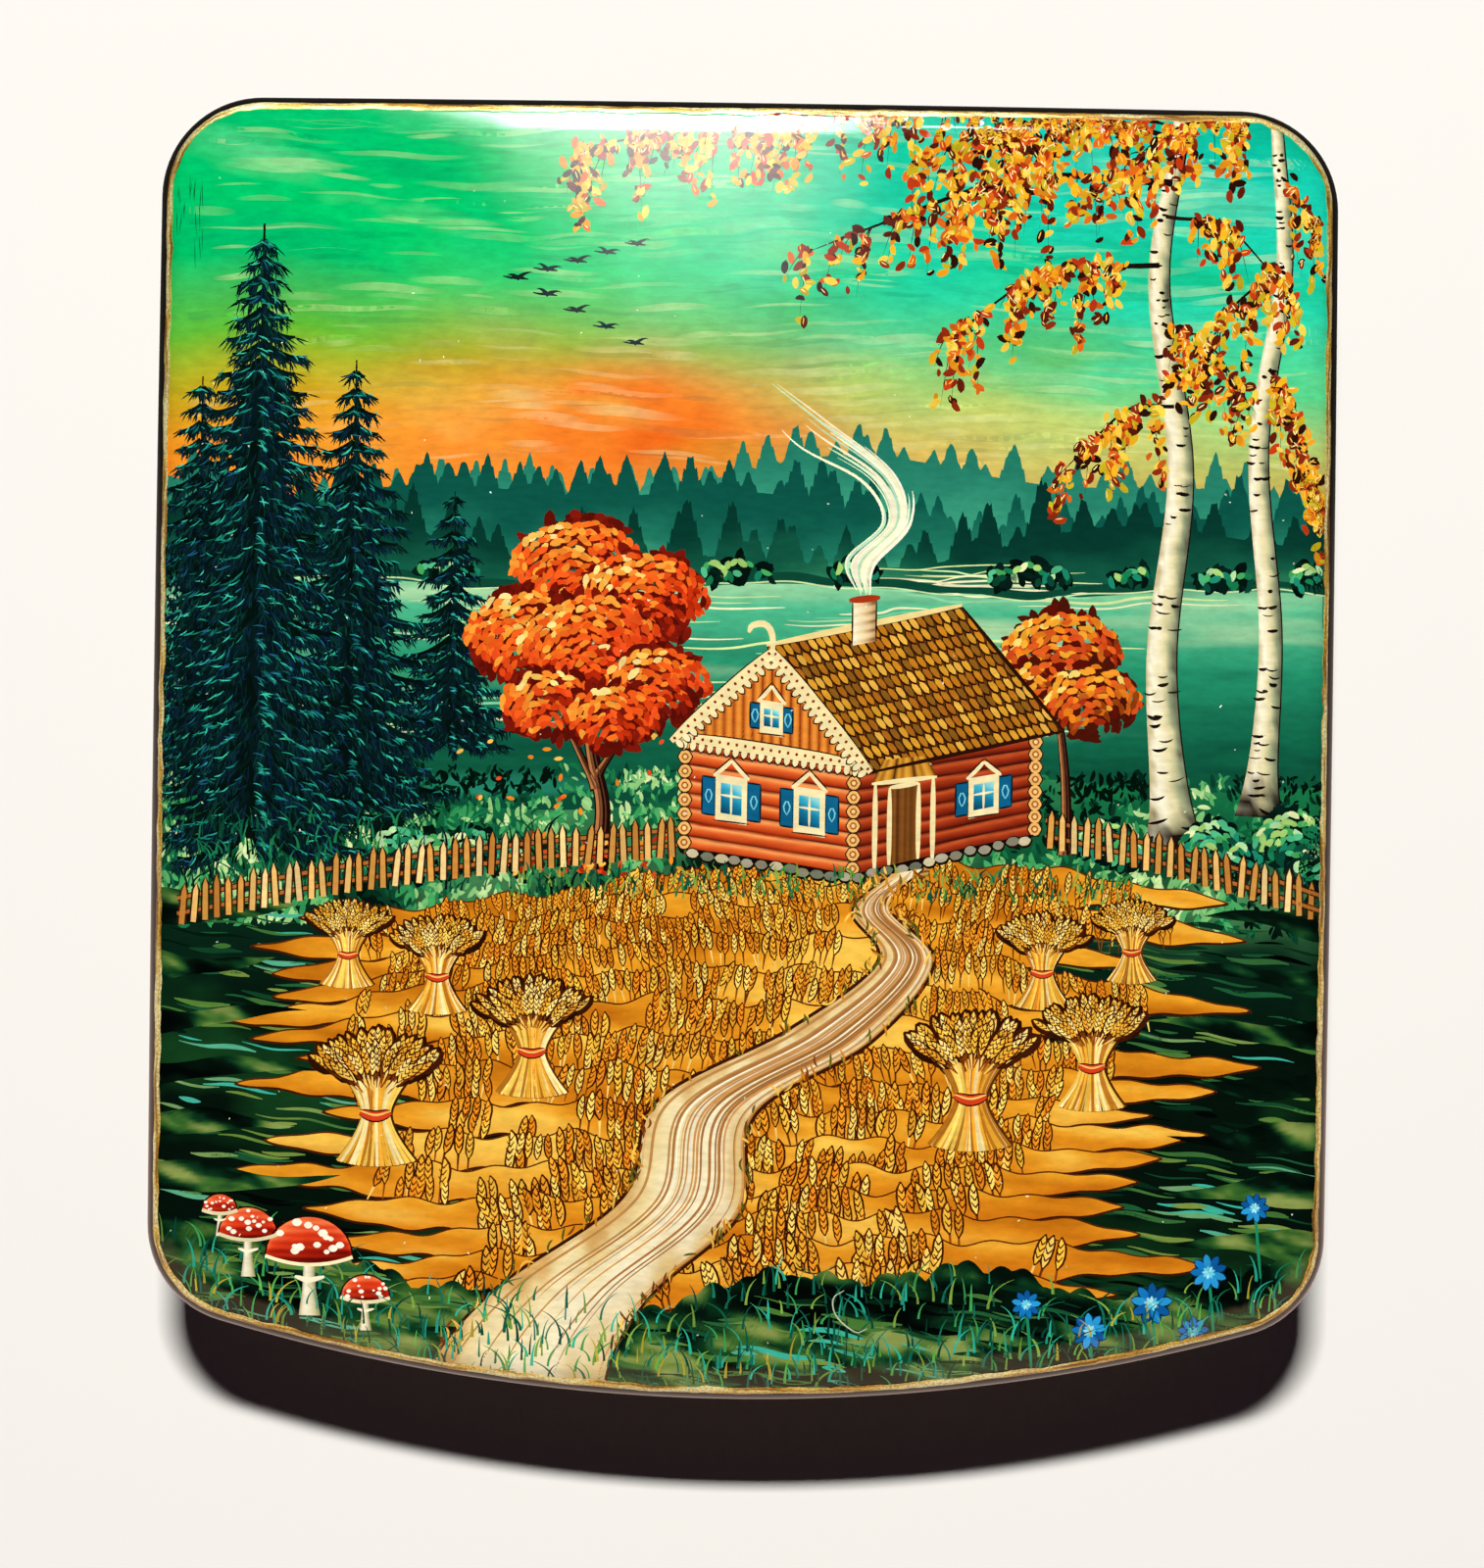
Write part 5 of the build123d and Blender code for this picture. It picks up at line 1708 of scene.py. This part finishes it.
def fly_agaric(foot, height, wide, lift):
    """Fly agaric: ringed cream stem, domed red cap lit at its left, and white flecks."""
    rng = np.random.default_rng(int(100 + 10 * height))
    x, y = foot
    rise = y + height * np.array([0, 0.5, 1])
    stem_left = curve(np.column_stack([x + wide * np.array([-0.11, -0.07, -0.06]), rise]), 20)
    stem_right = curve(np.column_stack([x + wide * np.array([0.14, 0.08, 0.07]), rise]), 20)
    stem = between(stem_right, stem_left, 8, lift, lambda at_x, at_y, up: ramp(up, stem_stops))
    t = np.linspace(-1, 1, 50)
    rim_y = y + height - 0.14 * height * (1 - t**2)
    dome = y + height + 0.46 * wide * np.sqrt(1 - 0.999 * t**2)
    low, top = (np.column_stack([x + 0.5 * wide * t, line]) for line in (rim_y, dome))

    def cap_red(at_x, at_y, up):
        rings = 0.12 * np.sin((at_y - y) * 9)
        return ramp(up * 0.9 - 0.25 * (at_x - x) / wide + rings, cap_stops)

    cap = between(low, top, 18, lift + 0.003, cap_red)
    edge = strokes(top[None], 0.14, pick(rng, ("#2A0604",), 1), lift + 0.004)
    gill = strokes(low[None], 0.3, pick(rng, ("#F8E8B8",), 1), lift + 0.0045)
    count = 15
    share, up = rng.uniform(-0.85, 0.85, count), rng.uniform(0.15, 0.92, count)
    fleck_x = x + 0.5 * wide * share
    fleck_y = np.interp(share, t, rim_y) * (1 - up) + np.interp(share, t, dome) * up
    size = 0.07 * wide * rng.uniform(0.6, 1.3, count)
    flecks = dabs(np.column_stack([fleck_x, fleck_y]), 0, 1.3 * size, size,
                  pick(rng, ("#FFF8E0",), count, 0.05), lift + 0.006)
    ring = [(x + share * wide, y + rise * height) for share, rise in ((-0.16, 0.66), (0, 0.6), (0.18, 0.66))]
    skirt = pen([ring], 0.06 * wide, "#FFF4D0", lift + 0.0055)
    return [stem, cap, edge, gill, flecks, *skirt]


for x, y, height, wide in toadstools:
    near += fly_agaric((x, y), height, wide, flower_lift + 0.002)
count = 200
grass_x = near_rng.uniform(-47, 47, count)
low_edge = np.interp(grass_x, picture_x / mm, picture_front / mm)
roots = np.column_stack([grass_x, low_edge + near_rng.uniform(0.2, 3.2, count)])
front_greens = ("#16705A", "#2AA88C", "#5AA84A", "#B8A838", "#0A4030")
near.append(tufts_of_grass(near_rng, roots, 2.6, front_greens, flower_lift + 0.01))
paint_piece("near_bank", near)


# Wear on the lacquer: specks of dust, hair-fine dark scratches beside the upper left corner,
# and one curled fibre near the front edge.
wear_lift = 0.234
wear_rng = np.random.default_rng(201)
count = 150
specks = scatter(wear_rng, count, -48, 48, -50, 52)
turn, length = wear_rng.uniform(0, 3, count), wear_rng.uniform(0.1, 0.28, count)
width = wear_rng.uniform(0.07, 0.14, count)
dust = pick(wear_rng, ("#E8F0D8", "#B8C8A8", "#F8F4E0"), count)
wear = [dabs(specks, turn, length, width, dust, wear_lift + 0.002)]
count = 18
start = scatter(wear_rng, count, -48.6, -46.2, 42, 48.5)
s = np.linspace(0, 1, 8)
slope = wear_rng.normal(-1.56, 0.07, (count, 1))
reach = wear_rng.uniform(0.8, 3.0, (count, 1)) * s
hairs = start[:, None] + np.stack([reach * np.cos(slope), reach * np.sin(slope)], -1)
wear.append(strokes(hairs, 0.055 * np.sin(np.pi * np.clip(s, 0.05, 0.95)),
                    pick(wear_rng, ("#0A3A20", "#0E5A34", "#06200F"), count), wear_lift))
fibre = [(9.2, -45.4), (8.3, -46.1), (8.6, -47.6), (10.2, -48.9), (11.2, -48.6)]
wear += pen([fibre], 0.11, "#C8CCB0", wear_lift + 0.002)
paint_piece("dust_and_scratches", wear)
